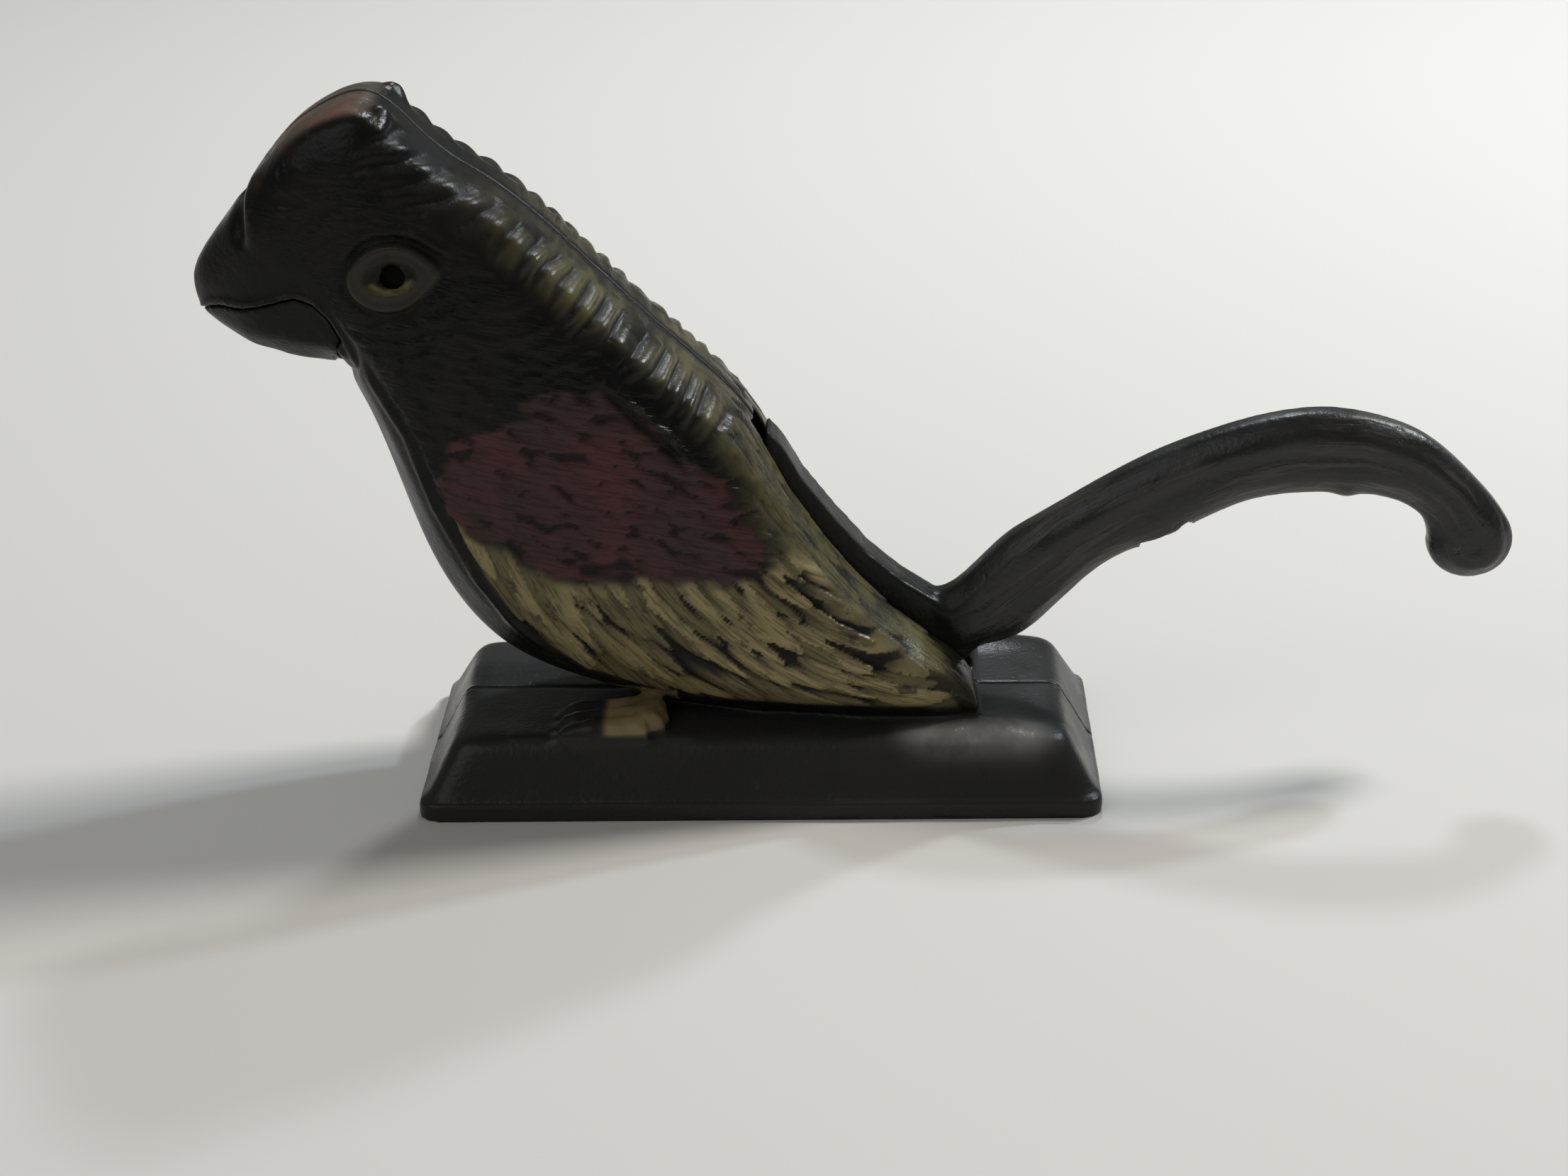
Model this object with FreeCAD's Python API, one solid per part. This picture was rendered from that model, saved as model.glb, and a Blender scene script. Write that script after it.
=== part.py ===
import FreeCAD, Part
import math
import os

# Figural lever nutcracker: a perched bird in two hollow cast halves on a hollow base.
# The tail is the handle of one lever that runs through the body and ends in the lower beak.
# Millimetres. +X towards the tail, +Y to the far side, +Z up.
# The bird's heights are measured from the top of the base. At the end everything is raised by
# the base's height, so that the origin lies under the middle of the base.

# Base
base_length = 133.0
base_width = 61.5
base_height = 15.0
base_lip_height = 3.5
base_lip_step = 0.8
base_end_slope = 6.5
base_side_slope = 5.0
base_corner_radius = 4.0
base_top_round = 3.0
base_wall = 5.0
base_roof = 4.5
base_mating_wall = 4.0

# Castings. Their round sections are planed into long flats.
body_wall = 4.5
section_flats = 10
cavity_flats = 5
seam_overlap = 0.5
crown_half_width = 9.0
nut_pocket_radius = 8.6
nut_pocket_end_radius = 5.2
nut_pocket_x = -90.5
nut_pocket_z = 82.0
nut_pocket_depth = 5.0
nut_pocket_height = 18.5
tuft_x = -69.0
tuft_rise = 3.7
tuft_root = 4.3
tuft_radius = 4.6
tuft_tip_radius = 1.2
toe_count = 3
toe_radius = 3.0
toe_spacing = 4.7
toe_first_y = 13.5
toe_heel_x = -21.5
toe_length = 15.0
toe_rise = 1.0
claw_length = 6.0

# Lever and its pivot
pivot_x = -61.0
pivot_z = 69.0
jaw_opening_angle = 34.0
lever_thickness = 9.0
lever_side_clearance = 0.5
hub_radius = 9.0
hub_face_clearance = 0.3
pivot_pin_radius = 3.0
pivot_running_clearance = 0.05
boss_radius = 8.0
handle_thickness = 10.4
handle_flat = 4.4
handle_bevel = 3.2
mouth_gap = 0.3
swing_clearance = 0.6
channel_floor = 1.2
channel_front_clearance = 4.0

# Rivets that hold the two castings together
rivet_radius = 2.1
rivet_boss_radius = 4.5
rivet_end_recess = 0.4
eye_rivet_radius = 2.3
eye_rivet_recess = 1.2
eye_x = -65.8
eye_z = 91.8
shoulder_rivet_x = -34.0
shoulder_rivet_z = 82.0
breast_rivet_x = -51.0
breast_rivet_z = 24.0

# Side outline of the bird as stations: belly point, back point, half width,
# flatness of the belly as a share of the half width, squareness of the back from 0 to 1.
stations = [
    ((43.5, -2.5), (42.0, 5.0), 16.5, 0.7, 0.7),
    ((36.0, -2.5), (35.5, 12.0), 18.5, 0.7, 0.7),
    ((22.0, -2.5), (24.0, 21.6), 20.5, 0.7, 0.6),
    ((5.0, -2.2), (13.0, 34.6), 21.5, 0.65, 0.6),
    ((-14.0, -0.8), (5.4, 46.5), 22.0, 0.6, 0.7),
    ((-33.0, 3.6), (-2.0, 59.8), 22.0, 0.6, 0.8),
    ((-50.5, 11.5), (-13.5, 71.8), 21.8, 0.6, 1.0),
    ((-62.0, 26.0), (-25.5, 83.4), 21.2, 0.62, 1.0),
    ((-68.0, 42.0), (-37.0, 94.8), 20.6, 0.65, 1.0),
    ((-73.0, 58.0), (-49.0, 105.2), 19.8, 0.65, 1.0),
    ((-80.0, 70.6), (-60.0, 113.0), 18.6, 0.65, 1.0),
    ((-87.5, 73.0), (-71.5, 121.0), 17.0, 0.65, 1.0),
    ((-93.5, 74.4), (-84.8, 116.8), 14.8, 0.6, 1.0),
    ((-98.5, 76.0), (-94.2, 106.0), 11.4, 0.6, 0.8),
    ((-102.6, 78.0), (-101.0, 97.2), 7.8, 0.6, 0.2),
    ((-105.2, 80.8), (-105.4, 91.0), 4.6, 0.6, 0.1),
    ((-106.2, 83.8), (-106.5, 87.4), 1.6, 0.6, 0.1),
]
body_cavity_stations = (3, 5, 7, 9)
jaw_first_station = 9
side_fullness = 1.06

# Mouth line between the upper beak and the jaw, from the tip to the rear corner,
# and two points in front of the throat that close the jaw's room.
mouth_line = [(-112.0, 80.4), (-105.4, 80.8), (-100.0, 82.4), (-94.5, 84.6), (-88.0, 86.2),
              (-84.6, 85.2), (-82.0, 82.6), (-79.6, 78.6)]
throat_front = [(-90.0, 45.0), (-112.0, 65.0)]

# Slot in the back, top end and lower end at the tail.
slot_top = (2.2, 55.2)
slot_bottom = (42.5, 4.0)

# Lever inside the bird: the shank's root on the jaw, and the web's front edge in the belly.
shank_root = [(-83.5, 83.0), (-86.0, 80.0), (-84.0, 74.5)]
web_floor = 3.0
web_front = [(-25.0, web_floor), (-40.0, 19.0)]
web_waist = (20.0, 18.0)

# Handle stations: lower edge point and upper edge point.
handle_stations = [
    ((41.0, 7.3), (33.5, 20.6)),
    ((48.5, 10.0), (41.5, 24.2)),
    ((56.5, 16.0), (49.5, 30.6)),
    ((65.7, 25.6), (58.5, 36.2)),
    ((75.0, 31.4), (68.5, 42.2)),
    ((84.5, 36.0), (79.0, 47.6)),
    ((94.5, 40.6), (91.0, 52.3)),
    ((105.0, 42.3), (104.3, 55.4)),
    ((116.0, 42.2), (117.5, 54.8)),
    ((125.0, 40.4), (130.0, 50.0)),
    ((130.2, 36.8), (139.8, 42.2)),
    ((132.0, 32.6), (145.8, 34.6)),
    ((132.1, 30.0), (147.2, 30.6)),
]
thorn_root = (80.5, 34.6)
thorn_length = 5.0
thorn_radius = 2.4
thorn_tip_radius = 0.8

# Arm strip that closes the slot at rest: outer edge from the slot's top to the handle root.
arm_outer_edge = [(3.4, 55.6), (8.8, 45.6), (15.5, 36.8), (21.6, 29.8), (28.0, 24.2), (33.5, 20.6)]
arm_root = [(41.0, 15.0), (30.0, 7.0)]

near_side = -1
far_side = 1
slot_half_width = lever_thickness / 2 + lever_side_clearance
far_away = 200.0


def vec(x, y, z):
    return FreeCAD.Vector(x, y, z)


def polar(radius, angle):
    """Point of the mid-plane at a radius and an angle in degrees about the pivot."""
    return (pivot_x + radius * math.cos(math.radians(angle)),
            pivot_z + radius * math.sin(math.radians(angle)))


def to_polar(point):
    dx = point[0] - pivot_x
    dz = point[1] - pivot_z
    return math.hypot(dx, dz), math.degrees(math.atan2(dz, dx))


def plate(outline, half_thickness):
    """Flat plate centred on the mid-plane with an outline of (x, z) points."""
    points = [vec(x, -half_thickness, z) for x, z in outline]
    face = Part.Face(Part.makePolygon(points + [points[0]]))
    return face.extrude(vec(0, 2 * half_thickness, 0))


def cross_cylinder(x, z, radius, y_start, y_end):
    return Part.makeCylinder(radius, y_end - y_start, vec(x, y_start, z), vec(0, 1, 0))


def side_cylinder(x, z, radius, side, y_start):
    """Cylinder across one casting, from a distance off the mid-plane outwards."""
    if side == near_side:
        return cross_cylinder(x, z, radius, -far_away / 4, -y_start)
    return cross_cylinder(x, z, radius, y_start, far_away / 4)


def half_space(side):
    """Big block on one side of the mid-plane."""
    y_low = -far_away if side == near_side else 0.0
    return Part.makeBox(2 * far_away, far_away, 2 * far_away, vec(-far_away, y_low, -far_away))


def below(height):
    """Big block under a height."""
    return Part.makeBox(2 * far_away, 2 * far_away, far_away,
                        vec(-far_away, -far_away, height - far_away))


def side_section(belly, back, half_width, belly_flat, back_square, side, flats):
    """Half of an oval section, planed into flats, and closed just past the mid-plane."""
    middle = vec((belly[0] + back[0]) / 2, 0, (belly[1] + back[1]) / 2)
    reach = vec((back[0] - belly[0]) / 2, 0, (back[1] - belly[1]) / 2)
    out = vec(0, side * half_width, 0)
    poles = [middle - reach,
             middle - reach + out * belly_flat,
             middle - reach * 0.5 + out * side_fullness,
             middle + reach * (0.3 + 0.2 * back_square) + out * side_fullness,
             middle + reach * (0.8 + 0.2 * back_square) + out * (0.85 + 0.15 * back_square),
             middle + reach + out * 0.5,
             middle + reach]
    curve = Part.BSplineCurve()
    curve.buildFromPolesMultsKnots(poles, [4, 1, 1, 1, 4], [0, 1, 2, 3, 4], False, 3)
    corners = curve.toShape().discretize(flats + 1)
    over_seam = vec(0, -side * seam_overlap, 0)
    return Part.makePolygon(corners + [corners[-1] + over_seam, corners[0] + over_seam, corners[0]])


def inset_station(station, inset):
    belly, back, half_width, belly_flat, back_square = station
    length = math.hypot(back[0] - belly[0], back[1] - belly[1])
    unit = ((back[0] - belly[0]) / length, (back[1] - belly[1]) / length)
    new_belly = (belly[0] + unit[0] * inset, belly[1] + unit[1] * inset)
    new_back = (back[0] - unit[0] * inset, back[1] - unit[1] * inset)
    return new_belly, new_back, half_width - inset, belly_flat, back_square


def half_bird(side, inset=0.0, first=0):
    """One side of the bird, lofted through its stations and cut flat on the mid-plane."""
    sections = [side_section(*inset_station(station, inset), side, section_flats)
                for station in stations[first:]]
    return Part.makeLoft(sections, True, False).common(half_space(side))


def body_cavity(side):
    """Hollow of the body, with flat sides that follow the outside at the wall's thickness."""
    sections = [side_section(*inset_station(stations[index], body_wall), side, cavity_flats)
                for index in body_cavity_stations]
    return Part.makeLoft(sections, True, True).cut(below(0))


def rounded_rectangle(length, width, radius, z):
    x = length / 2
    y = width / 2
    corner = radius * (1 - math.sqrt(0.5))
    edges = []
    corners = [(x, y, 1, 1), (-x, y, -1, 1), (-x, -y, -1, -1), (x, -y, 1, -1)]
    marks = []
    for cx, cy, sx, sy in corners:
        on_x_side = vec(cx, cy - sy * radius, z)
        on_y_side = vec(cx - sx * radius, cy, z)
        middle = vec(cx - sx * corner, cy - sy * corner, z)
        marks.append((on_x_side, middle, on_y_side) if sx * sy > 0 else (on_y_side, middle, on_x_side))
    for index, (start, middle, end) in enumerate(marks):
        edges.append(Part.Arc(start, middle, end).toShape())
        edges.append(Part.makeLine(end, marks[(index + 1) % 4][0]))
    return Part.Wire(edges)


def base_block():
    """Whole base: upright lip, sloped sides, rounded top edge and hollow underside."""
    lip_wire = rounded_rectangle(base_length, base_width, base_corner_radius, -base_height)
    lip = Part.Face(lip_wire).extrude(vec(0, 0, base_lip_height))
    foot = rounded_rectangle(base_length - 2 * base_lip_step, base_width - 2 * base_lip_step,
                             base_corner_radius, base_lip_height - base_height)
    top = rounded_rectangle(base_length - 2 * (base_lip_step + base_end_slope),
                            base_width - 2 * (base_lip_step + base_side_slope),
                            base_corner_radius, 0)
    slopes = Part.makeLoft([foot, top], True, True)
    top_edges = [edge for edge in slopes.Edges if edge.BoundBox.ZMin > -0.01]
    slopes = slopes.makeFillet(base_top_round, top_edges)
    outside = lip.fuse(slopes)
    pocket_mouth = rounded_rectangle(base_length - 2 * base_wall, base_width - 2 * base_wall,
                                     base_corner_radius / 2, -base_height)
    pocket_roof = rounded_rectangle(base_length - 2 * (base_wall + base_end_slope),
                                    base_width - 2 * (base_wall + base_side_slope),
                                    base_corner_radius / 2, -base_roof)
    pocket = Part.makeLoft([pocket_mouth, pocket_roof], True, True)
    mating_wall = Part.makeBox(base_length, 2 * base_mating_wall, base_height,
                               vec(-base_length / 2, -base_mating_wall, -base_height))
    return outside.cut(pocket.cut(mating_wall))


def jaw_room(gap):
    """Block that holds the jaw: below the mouth line and in front of the throat."""
    outline = [(x, z + gap) for x, z in mouth_line[:-2]]
    outline += [(x + gap, z) for x, z in mouth_line[-2:]]
    throat_radius, start_angle = to_polar(mouth_line[-1])
    for turn in (8, 18, 30, 42):
        outline.append(polar(throat_radius - gap, start_angle + turn))
    return plate(outline + throat_front, far_away / 4)


def lever_channel():
    """Room for the lever's plate inside the castings and out through the slot in the back."""
    around_hub = [polar(hub_radius + swing_clearance, angle) for angle in (90, 45, 0)]
    tail_side = [polar(far_away, to_polar(slot_top)[1]), (far_away, channel_floor),
                 (slot_bottom[0], channel_floor)]
    front = [(web_front[0][0] - channel_front_clearance, channel_floor),
             (web_front[1][0] - channel_front_clearance, web_front[1][1]),
             polar(hub_radius + channel_front_clearance, 226)]
    return plate(around_hub + tail_side + front, slot_half_width)


def throat_channel():
    """Wedge in the front of the neck through which the shank of the jaw swings."""
    throat_radius, rest_angle = to_polar(mouth_line[-1])
    reach = throat_radius + body_wall + hub_radius
    outline = [polar(hub_radius + swing_clearance, 100)]
    for turn in (-14, 0, 20, 40, jaw_opening_angle + 30):
        outline.append(polar(reach, rest_angle + turn))
    outline.append(polar(hub_radius, 260))
    wedge = plate(outline, slot_half_width)
    round_hub = cross_cylinder(pivot_x, pivot_z, hub_radius + swing_clearance,
                               -slot_half_width, slot_half_width)
    return wedge.fuse(round_hub)


def hub_boss(side):
    """Boss inside a casting that carries the pivot pin and guides the hub's face."""
    return side_cylinder(pivot_x, pivot_z, boss_radius, side,
                         lever_thickness / 2 + hub_face_clearance)


def nut_pocket():
    """Round dish in both beak halves, turned about an upright axis."""
    foot = nut_pocket_z
    head = foot + nut_pocket_height
    profile = [(0, foot), (nut_pocket_end_radius, foot),
               (nut_pocket_radius, foot + nut_pocket_depth),
               (nut_pocket_radius, head - nut_pocket_depth), (nut_pocket_end_radius, head),
               (0, head)]
    points = [vec(nut_pocket_x + x, 0, z) for x, z in profile]
    face = Part.Face(Part.makePolygon(points + [points[0]]))
    return face.revolve(vec(nut_pocket_x, 0, 0), vec(0, 0, 1), 360)


def crown_height(x):
    """Height of the bird's outline over a place between two stations."""
    for station, next_station in zip(stations, stations[1:]):
        (x_start, z_start), (x_end, z_end) = station[1], next_station[1]
        if x_end <= x <= x_start:
            return z_start + (z_end - z_start) * (x_start - x) / (x_start - x_end)


def crown_tuft(side):
    """Small pointed tuft at the rear corner of the flat crown."""
    root = vec(tuft_x, side * crown_half_width, crown_height(tuft_x) - tuft_root)
    lean = vec(0.2, 0, 1)
    return Part.makeCone(tuft_radius, tuft_tip_radius, tuft_root + tuft_rise, root, lean)


def foot_toes(side):
    """Three toes of a foot that points forward along the edge of the base's top."""
    toes = []
    for index in range(toe_count):
        y = side * (toe_first_y + index * toe_spacing)
        heel = vec(toe_heel_x, y, toe_rise)
        knuckle = vec(toe_heel_x - toe_length, y + side * 0.6, toe_rise - 0.6)
        forward = knuckle - heel
        toes.append(Part.makeCone(toe_radius, toe_radius * 0.8, forward.Length, heel, forward))
        toes.append(Part.makeCone(toe_radius * 0.8, 0.5, claw_length, knuckle, vec(-1, 0, -0.45)))
    heel_pad = Part.makeCylinder(toe_radius * 1.15, (toe_count - 1) * toe_spacing,
                                 vec(toe_heel_x, side * toe_first_y, toe_rise), vec(0, side, 0))
    return heel_pad.multiFuse(toes)


def casting(side):
    """One half of the hollow casting, with its half of the base."""
    shell = half_bird(side).cut(body_cavity(side))
    inner = half_bird(side, body_wall / 2)
    bosses = hub_boss(side)
    for x, z in ((shoulder_rivet_x, shoulder_rivet_z), (breast_rivet_x, breast_rivet_z)):
        bosses = bosses.fuse(side_cylinder(x, z, rivet_boss_radius, side, 0))
    shell = shell.fuse(bosses.common(inner))
    shell = shell.cut(below(-base_roof))
    base_half = base_block().common(half_space(side))
    result = shell.fuse(base_half).fuse(crown_tuft(side)).fuse(foot_toes(side))
    result = result.common(half_space(side))
    result = result.cut(jaw_room(mouth_gap)).cut(nut_pocket())
    result = result.cut(lever_channel()).cut(throat_channel())
    result = result.fuse(hub_boss(side).common(inner))
    result = result.cut(cross_cylinder(pivot_x, pivot_z, pivot_pin_radius, -far_away, far_away))
    result = result.cut(cross_cylinder(eye_x, eye_z, eye_rivet_radius, -far_away, far_away))
    for x, z in ((shoulder_rivet_x, shoulder_rivet_z), (breast_rivet_x, breast_rivet_z)):
        result = result.cut(cross_cylinder(x, z, rivet_radius, -far_away, far_away))
    return result.removeSplitter()


def jaw():
    """Lower beak: the part of the head below the mouth line, with a dish for the nut."""
    halves = [half_bird(side, 0.0, jaw_first_station).common(jaw_room(0.0))
              for side in (near_side, far_side)]
    return halves[0].fuse(halves[1]).cut(nut_pocket())


def lever_web():
    """Flat arm from the hub down through the belly and out at the back."""
    slot_radius, slot_angle = to_polar(slot_top)
    turn_angle = slot_angle - jaw_opening_angle - 2.0
    inner_radius = slot_radius - 2 * body_wall + swing_clearance / 2
    tail_low, tail_high = handle_stations[0]
    outline = [polar(hub_radius, 40), polar(inner_radius, turn_angle),
               polar(slot_radius + 6, turn_angle - 3), web_waist,
               (tail_low[0], web_waist[1]), ((tail_low[0] + handle_stations[1][0][0]) / 2, 11.0),
               tail_low, (slot_bottom[0] - 6.5, web_floor)]
    web = plate(outline + web_front + [polar(hub_radius, 205)], lever_thickness / 2)
    strip_inner = []
    for share in (1.0, 0.75, 0.5, 0.25, 0.0):
        angle = slot_angle - 1.2 + share * (turn_angle - slot_angle)
        strip_inner.append(polar(slot_radius + swing_clearance, angle))
    strip = plate(arm_outer_edge + arm_root + strip_inner, lever_thickness / 2)
    return web.fuse(strip)


def lever_shank():
    """Arm from the hub to the jaw, inside the throat."""
    rear_radius, rear_angle = to_polar(mouth_line[-1])
    outline = [polar(hub_radius, 110)] + shank_root
    outline += [polar(rear_radius - 1, rear_angle + 20), polar(hub_radius, 235)]
    return plate(outline, lever_thickness / 2)


def handle():
    """Curved tail handle with bevelled edges and a curl at its end."""
    half = handle_thickness / 2
    flat = handle_flat / 2
    wires = []
    for low, high in handle_stations:
        height = math.hypot(high[0] - low[0], high[1] - low[1])
        unit = ((high[0] - low[0]) / height, (high[1] - low[1]) / height)
        bevel = min(handle_bevel, 0.4 * height)
        corners = []
        for y, up in ((-flat, 0), (-half, bevel), (-half, height - bevel), (-flat, height),
                      (flat, height), (half, height - bevel), (half, bevel), (flat, 0)):
            corners.append(vec(low[0] + unit[0] * up, y, low[1] + unit[1] * up))
        wires.append(Part.makePolygon(corners + [corners[0]]))
    bar = Part.makeLoft(wires, True, False)
    low, high = handle_stations[-1]
    end_radius = math.hypot(high[0] - low[0], high[1] - low[1]) / 2
    curl_end = cross_cylinder((low[0] + high[0]) / 2, (low[1] + high[1]) / 2, end_radius,
                              -half, half)
    curl_end = curl_end.makeChamfer(half - flat, [edge for edge in curl_end.Edges
                                                  if edge.Closed])
    thorn = Part.makeCone(thorn_radius, thorn_tip_radius, thorn_length,
                          vec(thorn_root[0], 0, thorn_root[1]), vec(-0.35, 0, -1))
    return bar.fuse(curl_end).fuse(thorn)


def lever():
    """Handle, web, hub, shank and jaw as one casting."""
    hub = cross_cylinder(pivot_x, pivot_z, hub_radius, -lever_thickness / 2, lever_thickness / 2)
    result = hub.fuse([lever_web(), lever_shank(), handle(), jaw()])
    bore = cross_cylinder(pivot_x, pivot_z, pivot_pin_radius + pivot_running_clearance,
                          -far_away, far_away)
    return result.cut(bore).removeSplitter()


def through_pin(x, z, radius, recess):
    """Riveted pin across both castings, its ends following their surface."""
    halves = [side_cylinder(x, z, radius, side, 0).common(half_bird(side, recess))
              for side in (near_side, far_side)]
    return halves[0].fuse(halves[1]).removeSplitter()


def main():
    os.makedirs("parts", exist_ok=True)
    pieces = {
        "near_casting": casting(near_side),
        "far_casting": casting(far_side),
        "tail_lever_with_jaw": lever(),
        "pivot_pin": through_pin(pivot_x, pivot_z, pivot_pin_radius, rivet_end_recess),
        "eye_rivet": through_pin(eye_x, eye_z, eye_rivet_radius, eye_rivet_recess),
        "shoulder_rivet": through_pin(shoulder_rivet_x, shoulder_rivet_z, rivet_radius,
                                      rivet_end_recess),
        "breast_rivet": through_pin(breast_rivet_x, breast_rivet_z, rivet_radius,
                                    rivet_end_recess),
    }
    for name, shape in pieces.items():
        shape.translate(vec(0, 0, base_height))
        shape.exportStep("parts/" + name + ".step")
        box = shape.BoundBox
        print(name, "solids", len(shape.Solids), "valid", shape.isValid(),
              "volume", round(shape.Volume),
              "box", [round(v, 1) for v in (box.XMin, box.XMax, box.YMin, box.YMax,
                                            box.ZMin, box.ZMax)])


main()
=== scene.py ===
import math
from types import SimpleNamespace

import bmesh
import bpy
import numpy as np
from mathutils import Matrix, Vector


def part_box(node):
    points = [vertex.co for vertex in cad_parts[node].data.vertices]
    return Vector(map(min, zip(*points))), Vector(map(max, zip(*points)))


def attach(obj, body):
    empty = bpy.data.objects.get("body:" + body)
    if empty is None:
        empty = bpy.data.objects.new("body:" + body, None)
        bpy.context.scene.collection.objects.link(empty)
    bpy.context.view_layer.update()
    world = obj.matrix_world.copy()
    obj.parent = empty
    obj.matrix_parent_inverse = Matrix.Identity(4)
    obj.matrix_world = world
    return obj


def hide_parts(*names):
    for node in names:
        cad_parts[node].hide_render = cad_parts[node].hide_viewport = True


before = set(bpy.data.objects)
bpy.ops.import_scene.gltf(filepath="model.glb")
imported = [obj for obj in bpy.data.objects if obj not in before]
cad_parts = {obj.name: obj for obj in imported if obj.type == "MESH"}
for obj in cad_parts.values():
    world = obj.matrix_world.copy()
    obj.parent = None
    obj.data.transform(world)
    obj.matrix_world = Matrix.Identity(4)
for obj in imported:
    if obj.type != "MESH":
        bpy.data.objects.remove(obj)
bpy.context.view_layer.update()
scene = bpy.context.scene
scene.view_settings.view_transform = "Standard"
mm = 0.001

# camera: place in metres and directions of the picture's axes
cameraSettings = {
    "place": (0.02007, -0.57110, 0.27341),
    "right": (0.99965, 0.01921, -0.01822),
    "down": (-0.00945, -0.38412, -0.92323),
    "forward": (-0.02474, 0.92308, -0.38381),
    "focalPixels": 4400,
    "picturePixels": 2212,
    "sensorWidth": 36,
    "clip": (0.01, 20),
}


def makeCamera(settings):
    data = bpy.data.cameras.new("photoCamera")
    data.sensor_fit = "HORIZONTAL"
    data.sensor_width = settings["sensorWidth"]
    data.lens = settings["sensorWidth"] * (settings["focalPixels"] / settings["picturePixels"])
    data.clip_start, data.clip_end = settings["clip"]
    camera = bpy.data.objects.new("photoCamera", data)
    scene.collection.objects.link(camera)
    right, down, forward = (Vector(settings[key]) for key in ("right", "down", "forward"))
    turn = Matrix((right, -down, -forward)).transposed()
    camera.matrix_world = Matrix.Translation(settings["place"]) @ turn.to_4x4()
    scene.camera = camera


makeCamera(cameraSettings)
print("camera set")

# the bird's side outline in millimetres: belly point and back point of each section
bellyPoints = np.array([(43.5, 12.5), (36, 12.5), (22, 12.5), (5, 12.8), (-14, 14.2), (-33, 18.6),
                        (-50.5, 26.5), (-62, 41), (-68, 57), (-73, 73), (-80, 85.6), (-87.5, 88),
                        (-93.5, 89.4), (-98.5, 91), (-102.6, 93), (-105.2, 95.8), (-106.2, 98.8)])
backPoints = np.array([(42, 20), (35.5, 27), (24, 36.6), (13, 49.6), (5.4, 61.5), (-2, 74.8),
                       (-13.5, 86.8), (-25.5, 98.4), (-37, 109.8), (-49, 120.2), (-60, 128),
                       (-71.5, 136), (-84.8, 131.8), (-94.2, 121), (-101, 112.2), (-105.4, 106),
                       (-106.5, 102.4)])
crownPeak = (-71.5, 136.0)
mouthLine = [(-112, 95.4), (-105.4, 95.8), (-100, 97.4), (-94.5, 99.6), (-88, 101.2),
             (-84.6, 100.2), (-82, 97.6), (-79.6, 93.6), (-78, 89)]
slotLine = [(2.2, 70.2), (12, 54), (24, 39), (33, 29.5), (42, 20)]
eyeCentre = (-65.8, 106.8)
baseTop = 15.0
anywhere = 1000.0  # past every place on the object


# fields over the side view
def fraction(value):
    return value - np.floor(value)


def scatter(i, j, k=0.0):
    # a repeatable number from 0 to 1 for each cell
    return fraction(np.sin(i * 127.1 + j * 311.7 + k * 74.7) * 43758.5453)


def smoothStep(low, high, value):
    t = np.clip((value - low) / (high - low), 0, 1)
    return t * t * (3 - 2 * t)


def between(rise, fall, value):
    # 1 after the rise and before the fall, 0 outside both
    return smoothStep(*rise, value) * (1 - smoothStep(*fall, value))


def bell(distance, width):
    return np.exp(-(distance / width) ** 2)


def softNoise(points, size, seed=0.0):
    # value noise from -1 to 1; size may differ along x, y and z
    p = points / np.array(size, float) + seed * 13.37
    cell = np.floor(p)
    f = p - cell
    f = f * f * (3 - 2 * f)
    total = np.zeros(len(points))
    for dx in (0, 1):
        for dy in (0, 1):
            for dz in (0, 1):
                weight = ((f[:, 0] if dx else 1 - f[:, 0]) * (f[:, 1] if dy else 1 - f[:, 1])
                          * (f[:, 2] if dz else 1 - f[:, 2]))
                total += weight * scatter(cell[:, 0] + dx, cell[:, 1] + dy, cell[:, 2] + dz)
    return total * 2 - 1


def sumNoise(points, layers):
    # layers of noise, each given as height, size and seed
    return sum(height * softNoise(points, size, seed) for height, size, seed in layers)


def lineField(x, z, line):
    # distance to a line of points, signed plus on its left, and the length along it
    best = np.full(len(x), 1e9)
    sign = np.ones(len(x))
    along = np.zeros(len(x))
    start = 0.0
    for (x0, z0), (x1, z1) in zip(line, line[1:]):
        dx, dz = x1 - x0, z1 - z0
        length = math.hypot(dx, dz)
        t = np.clip(((x - x0) * dx + (z - z0) * dz) / length ** 2, 0, 1)
        away = np.hypot(x - x0 - t * dx, z - z0 - t * dz)
        near = away < best
        best = np.where(near, away, best)
        sign = np.where(near, np.sign(dx * (z - z0) - dz * (x - x0)), sign)
        along = np.where(near, start + t * length, along)
        start += length
    return best, sign, along


def insideField(x, z, outline):
    # distance to a closed outline, plus inside it
    inside = np.zeros(len(x), bool)
    for (x0, z0), (x1, z1) in zip(outline, outline[1:] + outline[:1]):
        crosses = (z0 > z) != (z1 > z)
        inside ^= crosses & (x < (x1 - x0) * (z - z0) / ((z1 - z0) or 1e-9) + x0)
    away = lineField(x, z, outline + outline[:1])[0]
    return np.where(inside, away, -away)


def inBox(points, box):
    # ranges of x, of the distance from the mid-plane and of z
    x, y, z = points.T
    (x0, x1), (side0, side1), (z0, z1) = box
    side = np.abs(y)
    return (x > x0) & (x < x1) & (side > side0) & (side < side1) & (z > z0) & (z < z1)


leafShape = {"halfLength": 0.69, "halfWidth": 0.62, "smallest": 0.85, "sizeSpread": 0.30,
             "stagger": 0.5, "rowShift": 0.3, "lean": 0.25, "taper": 0.35, "edge": 0.35, "root": 0.62}


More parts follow.
